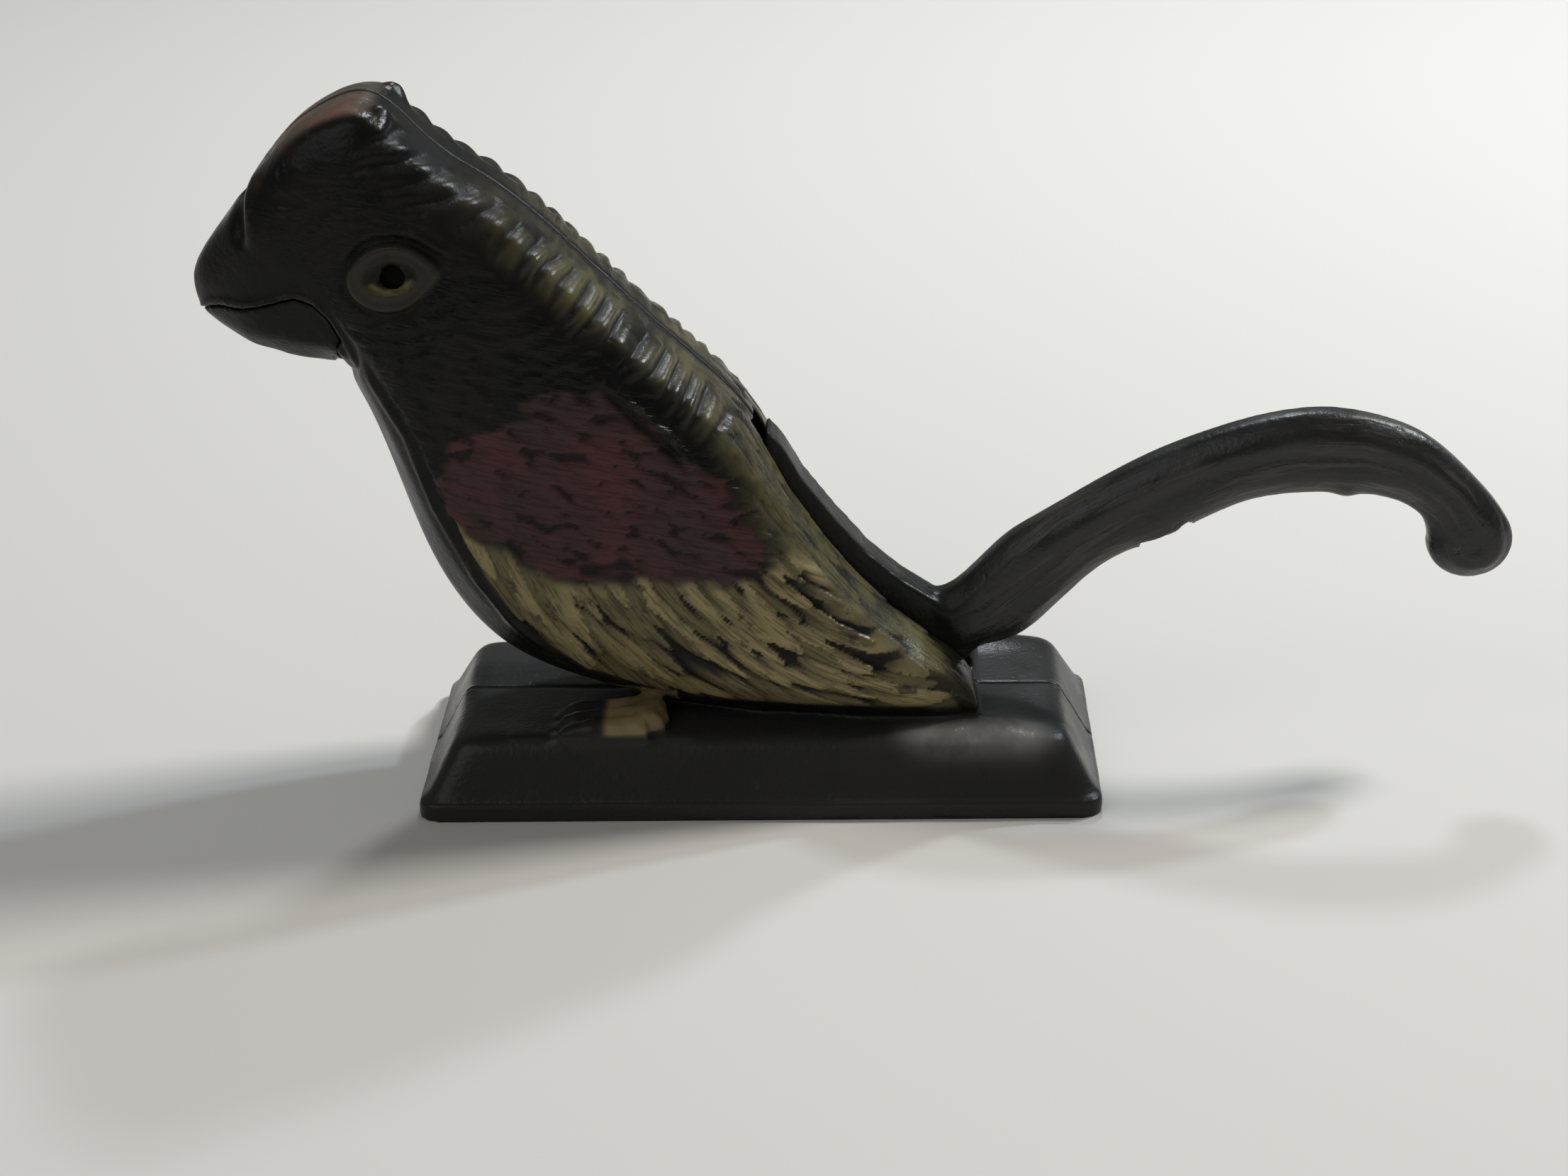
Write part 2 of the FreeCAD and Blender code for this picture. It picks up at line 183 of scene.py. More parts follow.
def featherField(along, across, settings):
    # overlapping leaf shapes in staggered rows; height from 0 to 1 and a number for each leaf
    length, width, spread, seed = (settings[key] for key in ("length", "width", "spread", "seed"))
    leaf = leafShape
    height = np.zeros(len(along))
    tone = np.full(len(along), 0.5)
    row0 = np.floor(across / width)
    for rowStep in (-1, 0, 1):
        row = row0 + rowStep
        shift = ((row % 2) * leaf["stagger"] + scatter(row, seed) * leaf["rowShift"]) * length
        column0 = np.floor((along + shift) / length)
        for columnStep in (-1, 0, 1):
            column = column0 + columnStep
            push = scatter(row, column, seed + 1) - 0.5
            lean = scatter(row, column, seed + 2) - 0.5
            size = leaf["smallest"] + leaf["sizeSpread"] * scatter(row, column, seed + 3)
            a = ((along - (column + 0.5 + spread * push) * length + shift)
                 / (length * leaf["halfLength"] * size))
            b = ((across - (row + 0.5 + spread * lean) * width - lean * leaf["lean"] * width * a)
                 / (width * leaf["halfWidth"] * size))
            half = np.sqrt(np.clip(1 - a * a, 0, 1)) * (1 - leaf["taper"] * np.clip(a, -1, 1))
            ratio = np.abs(b) / np.maximum(half, 1e-3)
            dome = leaf["edge"] + (1 - leaf["edge"]) * np.sqrt(np.clip(1 - ratio ** 2, 0, 1))
            rise = leaf["root"] + (1 - leaf["root"]) * a
            shape = np.where((np.abs(a) < 1) & (ratio < 1), dome * rise, 0)
            higher = shape > height
            height = np.where(higher, shape, height)
            tone = np.where(higher, scatter(row, column, seed + 4), tone)
    return height, tone


def sectionCentre(x, z):
    # middle of the bird's section nearest to each point
    middle = (bellyPoints + backPoints) / 2
    best = np.full(len(x), 1e9)
    cx, cz = np.zeros(len(x)), np.zeros(len(x))
    for (x0, z0), (x1, z1) in zip(middle, middle[1:]):
        dx, dz = x1 - x0, z1 - z0
        t = np.clip(((x - x0) * dx + (z - z0) * dz) / (dx * dx + dz * dz), 0, 1)
        px, pz = x0 + t * dx, z0 + t * dz
        away = np.hypot(x - px, z - pz)
        near = away < best
        best = np.where(near, away, best)
        cx, cz = np.where(near, px, cx), np.where(near, pz, cz)
    return cx, cz


# where a point is on the bird; all in millimetres
placeSettings = {"sideShare": 0.75, "creaseFade": (0.6, 2.2), "bellyFade": (-1.8, 1.8),
                 "bellyEdge": [(1.2, (3.2, 20, 9), 2)]}
frontCrease = [(-76, 95), (-71.5, 85), (-65.7, 75.2), (-61.1, 60.8), (-53.6, 45.3), (-51.3, 42.1),
               (-47.7, 36.2), (-41.6, 29.7), (-34.2, 23.6), (-20.1, 19.6), (-4, 18.2),
               (14.5, 18.0), (30, 17.6), (44, 16)]
bellyTop = [(-75, 64), (-58, 58), (-52, 53.5), (-44, 50), (-38, 46.5), (-20, 47), (-8, 46.5),
            (2, 49), (10, 53), (20, 60)]


def placesOn(points, settings):
    x, y, z = points.T
    at = SimpleNamespace(x=x, z=z, side=np.abs(y))
    at.flat = np.stack([x, at.side, z], 1)  # the same for both halves
    backLine = backPoints[::-1].tolist()
    backAway, _, backAlong = lineField(x, z, backLine)
    crownAlong, slotAlong = (lineField(np.array([px]), np.array([pz]), backLine)[2][0]
                             for px, pz in (crownPeak, slotLine[0]))
    at.girth = backAway + settings["sideShare"] * at.side  # round the body from the back line
    at.down = backAlong - crownAlong  # down the back from the crown
    at.slotStart = slotAlong - crownAlong
    creaseAway, creaseSide, at.creaseAlong = lineField(x, z, frontCrease)
    at.creaseSigned = creaseAway * creaseSide
    at.feathered = smoothStep(*settings["creaseFade"], at.creaseSigned)
    bellyAway, bellySide, _ = lineField(x, z, bellyTop)
    at.belowTop = smoothStep(*settings["bellyFade"],
                             -bellyAway * bellySide + sumNoise(at.flat, settings["bellyEdge"]))
    return at


# plumage: each zone gives its mask, the height it adds and how dark its grooves are
napeSettings = {
    "height": 0.62, "period": 4.4, "waver": [(2.0, 9, 5), (0.25, 5, 6)],
    "round": 0.62, "groove": 0.60, "grooveWidth": 0.85, "leastDepth": 0.45, "depthSpread": 0.75,
    "crownSlant": 0.55, "slantDrop": 0.60, "slantRange": (6, 42),
    "start": (2.5, 7), "beforeSlot": (16, 4), "top": (5.0, 10.0), "topEdge": [(0.8, (7, 30, 7), 12)],
    "lowEnd": 20.5, "lowSpread": 4.0, "lowMiddle": 0.4, "lowFade": 3.5,
    "lowEdge": [(1.0, (6, 20, 6), 9)],
}


def napeRidges(at, settings):
    # ridges square to the back line, turning flatter near the crown
    slant = (settings["crownSlant"]
             - settings["slantDrop"] * smoothStep(*settings["slantRange"], at.down))
    phase = ((at.down + slant * at.girth + sumNoise(at.flat, settings["waver"]))
             / settings["period"])
    cell = np.floor(phase)
    f = fraction(phase) - 0.5
    depth = settings["leastDepth"] + settings["depthSpread"] * scatter(cell, 3.0)
    lowEnd = (settings["lowEnd"] + settings["lowSpread"] * (scatter(cell, 8.0) - settings["lowMiddle"])
              + sumNoise(at.flat, settings["lowEdge"]))
    fade = settings["lowFade"]
    early, late = (at.slotStart - share for share in settings["beforeSlot"])
    mask = (between(settings["start"], (early, late), at.down)
            * smoothStep(*settings["top"], at.girth + sumNoise(at.flat, settings["topEdge"]))
            * (1 - smoothStep(lowEnd - fade, lowEnd + fade, at.girth)))
    groove = bell((0.5 - np.abs(f)) * settings["period"], settings["grooveWidth"])
    shape = settings["round"] * np.cos(2 * math.pi * f) - settings["groove"] * groove
    return SimpleNamespace(mask=mask, height=settings["height"] * depth * mask * shape,
                           groove=mask * groove * depth)


slotSettings = {
    "height": 0.40, "length": 7.5, "width": 2.6, "spread": 0.8, "seed": 11, "middle": 0.45,
    "beforeSlot": (20, 8), "top": (1.0, 3.0), "lowEnd": (14, 21), "lowEdge": [(2.0, 6, 14)],
    "waver": [(0.8, 6, 13)], "climb": 0.12, "groove": (0.05, 0.45),
}


def slotFeathers(at, settings):
    # small round feathers on the lower back beside the slot
    early, late = (at.slotStart - share for share in settings["beforeSlot"])
    mask = (smoothStep(early, late, at.down) * smoothStep(*settings["top"], at.girth)
            * (1 - smoothStep(*settings["lowEnd"],
                              at.girth + sumNoise(at.flat, settings["lowEdge"]))))
    leaves, _ = featherField(at.down + sumNoise(at.flat, settings["waver"]),
                             at.girth + settings["climb"] * at.down, settings)
    return SimpleNamespace(mask=mask,
                           height=settings["height"] * mask * (leaves - settings["middle"]),
                           groove=mask * (1 - smoothStep(*settings["groove"], leaves)),
                           flow=(at.down, at.girth))


chestSettings = {
    "height": 0.52, "length": 5.6, "width": 2.3, "spread": 0.75, "seed": 23, "middle": 0.5,
    "angle": math.radians(-11), "bend": 0.00144, "bendMiddle": -35, "bendRange": (-25, 45),
    "alongWaver": [(0.9, 8, 20)], "acrossWaver": [(0.9, 7, 21)],
    "top": (84, 93), "topSlope": 0.12, "besideNape": (0, 0.25), "girth": (16, 22),
    "dark": 0.8, "groove": (0.02, 0.4),
}


def chestDashes(at, nape, slot, settings):
    # short strokes, nearly level
    turnX, turnZ = math.cos(settings["angle"]), math.sin(settings["angle"])
    bent = at.z + settings["bend"] * np.clip(at.x - settings["bendMiddle"],
                                             *settings["bendRange"]) ** 2
    along = at.x * turnX + bent * turnZ + sumNoise(at.flat, settings["alongWaver"])
    across = -at.x * turnZ + bent * turnX + sumNoise(at.flat, settings["acrossWaver"])
    dashes, _ = featherField(along, across, settings)
    mask = (at.feathered * (1 - at.belowTop)
            * (1 - smoothStep(*settings["top"], at.z + settings["topSlope"] * at.x))
            * (1 - smoothStep(*settings["besideNape"], nape.mask)) * (1 - slot.mask)
            * smoothStep(*settings["girth"], at.girth))
    groove = settings["dark"] * mask * (1 - smoothStep(*settings["groove"], dashes))
    return SimpleNamespace(mask=mask, groove=groove,
                           height=settings["height"] * mask * (dashes - settings["middle"]),
                           flow=(at.x * turnX + at.z * turnZ, -at.x * turnZ + at.z * turnX))


bellySettings = {
    "height": 0.85, "length": 11.0, "width": 2.4, "spread": 0.8, "seed": 33, "middle": 0.5,
    "centre": (46, 92), "radius": 75, "alongWaver": [(1.1, 12, 30)], "acrossWaver": [(1.5, 11, 31)],
    "vein": 0.12, "veinSize": 0.55, "veinFrom": 0.2, "bottom": (15.6, 17.5),
    "dark": 0.70, "groove": (0.0, 0.42),
}


def bellyFeathers(at, slot, settings):
    # long feathers that curve from steep at the front to level at the tail
    dx, dz = at.x - settings["centre"][0], at.z - settings["centre"][1]
    reach, turn = np.hypot(dx, dz), np.arctan2(dz, dx)
    radius = settings["radius"]
    along = turn * radius + sumNoise(at.flat, settings["alongWaver"])
    across = radius * np.log(reach / radius) + sumNoise(at.flat, settings["acrossWaver"])
    leaves, tone = featherField(along, across, settings)
    vein = settings["vein"] * np.cos(across / settings["veinSize"])
    mask = at.feathered * at.belowTop * smoothStep(*settings["bottom"], at.z) * (1 - slot.mask)
    height = leaves - settings["middle"] + vein * (leaves > settings["veinFrom"])
    return SimpleNamespace(mask=mask, height=settings["height"] * mask * height,
                           groove=settings["dark"] * mask * (1 - smoothStep(*settings["groove"], leaves)),
                           leaves=leaves, tone=tone, flow=(turn * reach, reach))


furSettings = {
    "height": 0.22, "size": (5.5, 9, 1.0), "seed": 41, "angle": 0.12, "angleWaver": [(0.25, 25, 40)],
    "besideNape": (0, 0.25), "bottom": (80, 90), "front": (-103, -90), "top": (124, 130),
    "dark": 0.45, "groove": (0.2, 0.8),
}


def cheekFur(at, nape, belly, settings):
    # fine lines on the cheek and the neck
    mask = (at.feathered * (1 - smoothStep(*settings["besideNape"], nape.mask)) * (1 - belly.mask)
            * between(settings["bottom"], settings["top"], at.z)
            * smoothStep(*settings["front"], at.x))
    angle = settings["angle"] + sumNoise(at.flat, settings["angleWaver"])
    turned = np.stack([at.x + at.z * angle, at.side, at.z - at.x * angle], 1)
    fur = softNoise(turned, settings["size"], settings["seed"])
    return SimpleNamespace(height=settings["height"] * mask * fur,
                           groove=settings["dark"] * mask * smoothStep(*settings["groove"], -fur))


wingLine = [(-28, 86.3), (-25.5, 84.1), (-22.6, 80.9), (-19.7, 78.2), (-17.1, 75.9), (-14.6, 73.1),
            (-10, 67)]
creaseSettings = {
    "front": 0.45, "frontRise": (4, 14), "frontFall": (95, 130), "frontShape": (-0.2, 0.8, 0.8, 1.2, 0.7),
    "wing": 0.6, "wingRise": (0, 3), "wingFall": (20, 25), "wingShape": (0.9, 0.9, 1.1, -0.7, 0.7),
    "knob": (-29.0, 86.8), "knobHeight": 0.7, "knobWidth": 1.9,
}


def ridgeAndHollow(signed, shape):
    ridgeAt, ridgeWidth, hollowShare, hollowAt, hollowWidth = shape
    hollow = bell(signed - hollowAt, hollowWidth)
    return bell(signed - ridgeAt, ridgeWidth) - hollowShare * hollow, hollow


def bodyCreases(at, settings):
    # the crease down the front, with the smooth band before it, and the wing's line
    front = between(settings["frontRise"], settings["frontFall"], at.creaseAlong)
    height = settings["front"] * front * ridgeAndHollow(at.creaseSigned, settings["frontShape"])[0]
    away, side, along = lineField(at.x, at.z, wingLine)
    wing = between(settings["wingRise"], settings["wingFall"], along)
    shape, hollow = ridgeAndHollow(away * side, settings["wingShape"])
    height += settings["wing"] * wing * shape
    knobX, knobZ = settings["knob"]
    height += settings["knobHeight"] * bell(np.hypot(at.x - knobX, at.z - knobZ),
                                            settings["knobWidth"])
    return SimpleNamespace(height=height, groove=wing * hollow)


# the eye: rims and grooves are given as height, place and width
eyeSettings = {
    "tilt": 0.12, "rear": (1, 9.5), "rearNarrow": 0.35, "lidHalf": (8.9, 6.5),
    "openingShift": (-0.3, 0.1), "openingHalf": (5.0, 3.2), "cleared": (0.98, 1.2),
    "lidHeight": 0.75, "lidFade": (0.86, 1.02), "lidRim": (0.35, 0.93, 0.7),
    "lidGroove": (-0.55, 1.08, 0.6), "socket": -0.65, "socketFade": (0.84, 1.02),
    "openingRim": (0.25, 1.1, 0.45), "ball": 0.45, "openingScale": 3.5,
    "lidDark": (0.9, 1.08, 0.55), "openingDark": (0.8, 0.93, 0.35), "darkScale": 3.2,
}
upperLid = [(-74.5, 108.5), (-71.2, 113.0), (-68.3, 114.0), (-64.9, 114.1), (-61.2, 113.2),
            (-57.6, 111.3), (-54, 109.6)]
wrinkles = [[(-73, 99.8), (-70, 98.9), (-67.3, 98.8), (-62.4, 100.2), (-59.5, 102.0), (-57, 104.5)],
            [(-73.5, 97.6), (-71.9, 97.4), (-63.5, 98.6), (-57.7, 100.9), (-53, 103)],
            [(-77.5, 96.4), (-72.6, 95.1), (-66, 95.0), (-60, 96.0), (-53, 98)],
            [(-72, 92.5), (-64, 92.3), (-57, 94)],
            [(-55.5, 106.5), (-51, 107.2), (-46, 106.4)]]
foldSettings = {"lidDepth": 0.55, "wrinkleDepth": 0.26, "width": 0.65, "ridgeShare": 0.45,
                "ridgeAt": 1.5, "ridgeWidth": 0.8, "start": 2.5, "end": 3, "dark": 0.9, "darkWidth": 0.6}


def rim(field, scale, shape):
    height, place, width = shape
    return height * bell((field - place) * scale, width)


def eyeShape(at, settings):
    # a wide lid with a pointed rear corner, and a smaller opening round the pupil
    ex = at.x - eyeCentre[0]
    ez = at.z - eyeCentre[1] - settings["tilt"] * ex
    rear = smoothStep(*settings["rear"], ex)
    lidScale = settings["lidHalf"][1]
    lid = np.hypot(ex / settings["lidHalf"][0], ez / (lidScale * (1 - settings["rearNarrow"] * rear)))
    opening = np.hypot((ex - settings["openingShift"][0]) / settings["openingHalf"][0],
                       (ez - settings["openingShift"][1]) / settings["openingHalf"][1])
    height = (settings["lidHeight"] * (1 - smoothStep(*settings["lidFade"], lid))
              + rim(lid, lidScale, settings["lidRim"]) + rim(lid, lidScale, settings["lidGroove"])
              + settings["socket"] * (1 - smoothStep(*settings["socketFade"], opening))
              + rim(opening, settings["openingScale"], settings["openingRim"])
              + settings["ball"] * np.clip(1 - opening ** 2, 0, 1))
    groove = np.maximum(rim(lid, lidScale, settings["lidDark"]),
                        rim(opening, settings["darkScale"], settings["openingDark"]))
    return SimpleNamespace(height=height, groove=groove, lid=lid, opening=opening, below=-ez,
                           cleared=smoothStep(*settings["cleared"], lid))


def eyeFolds(at, settings):
    height, groove = np.zeros(len(at.x)), np.zeros(len(at.x))
    for line in [upperLid] + wrinkles:
        away, _, run = lineField(at.x, at.z, line)
        total = run.max()
        fade = between((0, settings["start"]), (total - settings["end"], total), run)
        depth = settings["lidDepth"] if line is upperLid else settings["wrinkleDepth"]
        height -= depth * fade * bell(away, settings["width"])
        height += (depth * settings["ridgeShare"] * fade
                   * bell(away - settings["ridgeAt"], settings["ridgeWidth"]))
        groove = np.maximum(groove, settings["dark"] * fade * bell(away, settings["darkWidth"]))
    return SimpleNamespace(height=height, groove=groove)


crownCrease = [(-92, 121.5), (-88, 126.0), (-84.5, 129.3), (-81.3, 131.2), (-75, 133.7),
               (-71.6, 134.7), (-68.4, 135.2)]
crownSettings = {
    "brow": 0.15, "browWidth": 1.5, "browSide": (6.5, 10.5), "browStart": (1, 5),
    "cereX": -94.8, "cereLean": 0.35, "cereBend": (118, 126), "cereRise": (110, 114),
    "cereFall": (123, 126), "cereRidge": (0.75, 2.1, 1.5), "cereHollow": (-1.05, -0.3, 1.3),
    "cereDark": (0.4, 0.0, 0.8), "lip": (0.4, 1.0, 0.8),
}


def crownShape(at, settings):
    # a brow ridge along each side, a hollow behind the beak and a lip over the mouth
    away, _, along = lineField(at.x, at.z, crownCrease)
    height = (settings["brow"] * bell(away, settings["browWidth"])
              * smoothStep(*settings["browSide"], at.side) * smoothStep(*settings["browStart"], along))
    bendStart = settings["cereBend"][0]
    cereX = (settings["cereX"] + settings["cereLean"] * (at.z - bendStart)
             * smoothStep(*settings["cereBend"], at.z))
    cere = between(settings["cereRise"], settings["cereFall"], at.z)
    past = at.x - cereX
    height += cere * (rim(past, 1, settings["cereRidge"]) + rim(past, 1, settings["cereHollow"]))
    height += rim(lineField(at.x, at.z, mouthLine)[0], 1, settings["lip"])
    return SimpleNamespace(height=height, groove=cere * rim(past, 1, settings["cereDark"]))


seamSettings = {"width": 0.55, "depth": 0.30, "darkWidth": 0.75, "reliefLeft": 0.35,
                "reliefFade": (0.3, 3.0)}
maroonOutline = [(-60.5, 66), (-57, 74.5), (-48.2, 78.5), (-41.1, 81.7), (-34, 85.2), (-28.4, 85.1),
                 (-25.5, 82), (-19.7, 76.9), (-15.5, 73.2), (-10.4, 69.4), (-4.9, 63.7),
                 (-1.1, 59), (1.6, 56.8), (1.6, 49.5), (-4.5, 46.6), (-12.8, 46.9), (-19, 47.2),
                 (-24, 50.4), (-29.7, 49.0), (-35, 47.4), (-39.3, 46.6), (-43.6, 50.3),
                 (-46.9, 54.9), (-51.5, 54.0), (-54.8, 54.3), (-57.5, 59.3)]
paintSettings = {
    "maroonFade": (-0.8, 0.8), "maroonEdge": [(2.0, (3.4, 9, 1.6), 50), (1.0, (5, 9, 3), 52)],
    "maroonBelow": 0.9, "maroonDeep": 0.5,
    "goldFade": (0.08, 0.40), "goldTone": 0.25, "goldPatches": [(0.20, 9, 51)],
    "oliveX": (-10, 14), "oliveRise": (42, 52), "oliveFall": (60, 76), "oliveSide": (0, 2),
    "patchFade": (-0.55, 0.15), "patches": [(1.0, 6, 55), (0.4, 2, 56)], "patchLeast": 0.35,
    "napeTop": (1.0, 3.0), "napeDown": (14, 60), "napeLow": (15, 23), "napeEdge": [(2.5, 5, 57)],
    "strandGirth": (17, 23), "strandNape": (0.02, 0.2), "strandFront": (-100, -92), "strandMaroon": 0.25,
    "crownRise": (-93, -88), "crownFall": (-70.5, -68.0), "crownHeight": (-3.0, -1.4),
    "crownSide": (11, 14), "eyeGold": (1.0, 0.86, 0.42), "eyeGoldBelow": (0.3, 1.3),
    "lid": (0.98, 1.06), "opening": (0.8, 0.95),
}


def wellInside(mask):
    # 1 where a mask is plainly on or plainly off, 0 along its edge
    return np.clip(np.abs(mask - 0.5) * 4 - 1.2, 0, 1)


def paintMasks(at, zones, deep, outer, settings):
    nape, slot, chest, belly, eye = zones
    maroon = smoothStep(*settings["maroonFade"], insideField(at.x, at.z, maroonOutline)
                        + sumNoise(at.flat, settings["maroonEdge"]))
    maroon *= (1 - at.belowTop * settings["maroonBelow"]) * outer * (1 - settings["maroonDeep"] * deep)
    gold = belly.mask * smoothStep(*settings["goldFade"],
                                   belly.leaves + settings["goldTone"] * (belly.tone - 0.5)
                                   + sumNoise(at.flat, settings["goldPatches"]))
    slotOlive = (smoothStep(*settings["oliveX"], at.x) * (1 - maroon)
                 * between(settings["oliveRise"], settings["oliveFall"], at.z)
                 * smoothStep(*settings["oliveSide"], at.side))
    patches = smoothStep(*settings["patchFade"], sumNoise(at.flat, settings["patches"]))
    least = settings["patchLeast"]
    napeOlive = (smoothStep(*settings["napeTop"], at.girth) * smoothStep(*settings["napeDown"], at.down)
                 * (least + (1 - least) * patches)
                 * (1 - smoothStep(*settings["napeLow"],
                                   at.girth + sumNoise(at.flat, settings["napeEdge"]))))
    lid = outer * (1 - smoothStep(*settings["lid"], eye.lid))
    onSlot = slot.mask > 0.5
    strands = (wellInside(belly.mask) * wellInside(slot.mask)
               * np.where(onSlot, 1, smoothStep(*settings["strandGirth"], at.girth))
               * (1 - smoothStep(*settings["strandNape"], nape.mask))
               * (1 - maroon * settings["strandMaroon"]) * at.feathered * outer
               * smoothStep(*settings["strandFront"], at.x) * (1 - lid))
    flow = [np.where(belly.mask > 0.5, onBelly, np.where(onSlot, besideSlot, onChest)) * mm
            for onBelly, besideSlot, onChest in zip(belly.flow, slot.flow, chest.flow)]
    creaseHeight = np.interp(at.x, *zip(*crownCrease))
    crown = (between(settings["crownRise"], settings["crownFall"], at.x)
             * smoothStep(*settings["crownHeight"], at.z - creaseHeight)
             * (1 - smoothStep(*settings["crownSide"], at.side)))
    return {
        "maroon": maroon, "gold": gold * (1 - maroon) * outer, "leafTone": belly.tone,
        "deep": deep * outer,
        "olive": np.clip(np.maximum(slotOlive, napeOlive) * (1 - maroon), 0, 1) * outer,
        "plumed": strands, "flowAlong": flow[0], "flowAcross": flow[1],
        "crown": crown * outer, "lid": lid,
        "eyeGold": (outer * rim(eye.opening, eyeSettings["darkScale"], settings["eyeGold"])
                    * smoothStep(*settings["eyeGoldBelow"], eye.below)),
        "opening": outer * (1 - smoothStep(*settings["opening"], eye.opening)),
    }


def birdRelief(points, outer):
    # the height to add and the paint's masks
    at = placesOn(points, placeSettings)
    nape = napeRidges(at, napeSettings)
    slot = slotFeathers(at, slotSettings)
    chest = chestDashes(at, nape, slot, chestSettings)
    belly = bellyFeathers(at, slot, bellySettings)
    eye = eyeShape(at, eyeSettings)
    plumage = [nape, slot, chest, belly, cheekFur(at, nape, belly, furSettings),
               bodyCreases(at, creaseSettings)]
    details = [eye, eyeFolds(at, foldSettings), crownShape(at, crownSettings)]
    relief, deep = np.zeros(len(points)), np.zeros(len(points))
    for shape in plumage:
        relief += shape.height
        deep = np.maximum(deep, shape.groove)
    relief *= eye.cleared
    deep *= eye.cleared
    for shape in details:
        relief += shape.height
        deep = np.maximum(deep, shape.groove)
    # the two halves meet in a fine groove
    left = seamSettings["reliefLeft"]
    relief *= left + (1 - left) * smoothStep(*seamSettings["reliefFade"], at.side)
    relief -= seamSettings["depth"] * bell(at.side, seamSettings["width"])
    deep = np.maximum(deep, bell(at.side, seamSettings["darkWidth"]))
    return relief * outer, paintMasks(at, (nape, slot, chest, belly, eye), deep, outer, paintSettings)


# meshes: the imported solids, cast round and carved
def addPlug(bm, nodeName, side, settings):
    # fills a painted-over rivet hole: the pin's outer part, a little larger, up to the surface
    plug = bmesh.new()
    plug.from_mesh(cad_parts[nodeName].data)
    bmesh.ops.remove_doubles(plug, verts=plug.verts, dist=1e-6)
    low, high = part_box(nodeName)
    centre = (low + high) / 2
    for vert in plug.verts:
        vert.co.x = centre.x + (vert.co.x - centre.x) * settings["pinGrow"]
        vert.co.z = centre.z + (vert.co.z - centre.z) * settings["pinGrow"]
        if abs(vert.co.y) > settings["pinEnd"] * mm:
            vert.co.y += math.copysign(settings["pinRise"] * mm, vert.co.y)
    cut = bmesh.ops.bisect_plane(plug, geom=plug.verts[:] + plug.edges[:] + plug.faces[:],
                                 plane_co=(0, side * settings["plugStart"] * mm, 0),
                                 plane_no=(0, side, 0), clear_inner=True)
    edge = [item for item in cut["geom_cut"] if isinstance(item, bmesh.types.BMEdge)]
    bmesh.ops.contextual_create(plug, geom=edge)
    bmesh.ops.recalc_face_normals(plug, faces=plug.faces)
    part = bpy.data.meshes.new("plugPart")
    plug.to_mesh(part)
    plug.free()
    bm.from_mesh(part)
    bpy.data.meshes.remove(part)


def evaluatedMesh(piece):
    graph = bpy.context.evaluated_depsgraph_get()
    return bpy.data.meshes.new_from_object(piece.evaluated_get(graph))


def castCopy(name, nodeName, settings, side=1):
    bm = bmesh.new()
    bm.from_mesh(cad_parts[nodeName].data)
    bmesh.ops.remove_doubles(bm, verts=bm.verts, dist=1e-6)
    for plug in settings["plugs"]:
        addPlug(bm, plug, side, settings)
    rough = bpy.data.meshes.new(name + "Rough")
    bm.to_mesh(rough)
    bm.free()
    source = bpy.data.objects.new(name + "Rough", rough)
    scene.collection.objects.link(source)
    remesh = source.modifiers.new("cast", "REMESH")
    remesh.mode = "VOXEL"
    remesh.voxel_size = settings["voxel"] * mm
    mesh = evaluatedMesh(source)
    bpy.data.objects.remove(source)
    mesh.name = name
    piece = bpy.data.objects.new(name, mesh)
    scene.collection.objects.link(piece)
    return piece


def readPoints(mesh):
    points = np.zeros(len(mesh.vertices) * 3)
    mesh.vertices.foreach_get("co", points)
    normals = np.zeros(len(mesh.vertices) * 3)
    mesh.vertex_normals.foreach_get("vector", normals)
    return points.reshape(-1, 3) / mm, normals.reshape(-1, 3)


def writePoints(mesh, points):
    mesh.vertices.foreach_set("co", (points * mm).ravel())
    mesh.update()


def softenWhere(mesh, mask, turns):
    bm = bmesh.new()
    bm.from_mesh(mesh)
    chosen = [vert for vert, wanted in zip(bm.verts, mask) if wanted]
    for _ in range(turns):
        bmesh.ops.smooth_vert(bm, verts=chosen, factor=0.5, use_axis_x=True, use_axis_y=True,
                              use_axis_z=True)
    bm.to_mesh(mesh)
    bm.free()


def thinWhere(piece, mask, share):
    # fewer faces where nothing fine shows
    group = piece.vertex_groups.new(name="thin")
    group.add(np.flatnonzero(mask).tolist(), 1.0, "REPLACE")
    thin = piece.modifiers.new("thin", "DECIMATE")
    thin.ratio = share
    thin.vertex_group = group.name
    mesh = evaluatedMesh(piece)
    piece.modifiers.clear()
    piece.vertex_groups.clear()
    piece.data = mesh


def writeFields(mesh, fields):
    for name, values in fields.items():
        attribute = mesh.attributes.new(name, "FLOAT", "POINT")
        attribute.data.foreach_set("value", np.ascontiguousarray(values, np.float32))


def finishMesh(piece, body, nodeName):
    mesh = piece.data
    mesh.polygons.foreach_set("use_smooth", [True] * len(mesh.polygons))
    mesh.update()
    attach(piece, body)
    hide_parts(nodeName)
    print(piece.name, "triangles", sum(len(face.vertices) - 2 for face in mesh.polygons))


skinSettings = {"facing": (0.30, 0.55), "aboveBase": (baseTop + 0.3, baseTop + 1.6),
                "toes": ((-46, -16), (10.2, anywhere), (-anywhere, 20.6))}


def outerShare(points, normals, settings):
    # 1 on the bird's outer skin, 0 on cut faces, inner walls, the toes and the base
    x, y, z = points.T
    cx, cz = sectionCentre(x, z)
    away = np.stack([x - cx, y, z - cz], 1)
    away /= np.maximum(np.linalg.norm(away, axis=1), 1e-6)[:, None]
    facing = (away * normals).sum(1)
    share = smoothStep(*settings["facing"], facing) * smoothStep(*settings["aboveBase"], z)
    return np.where(inBox(points, settings["toes"]), 0, share)


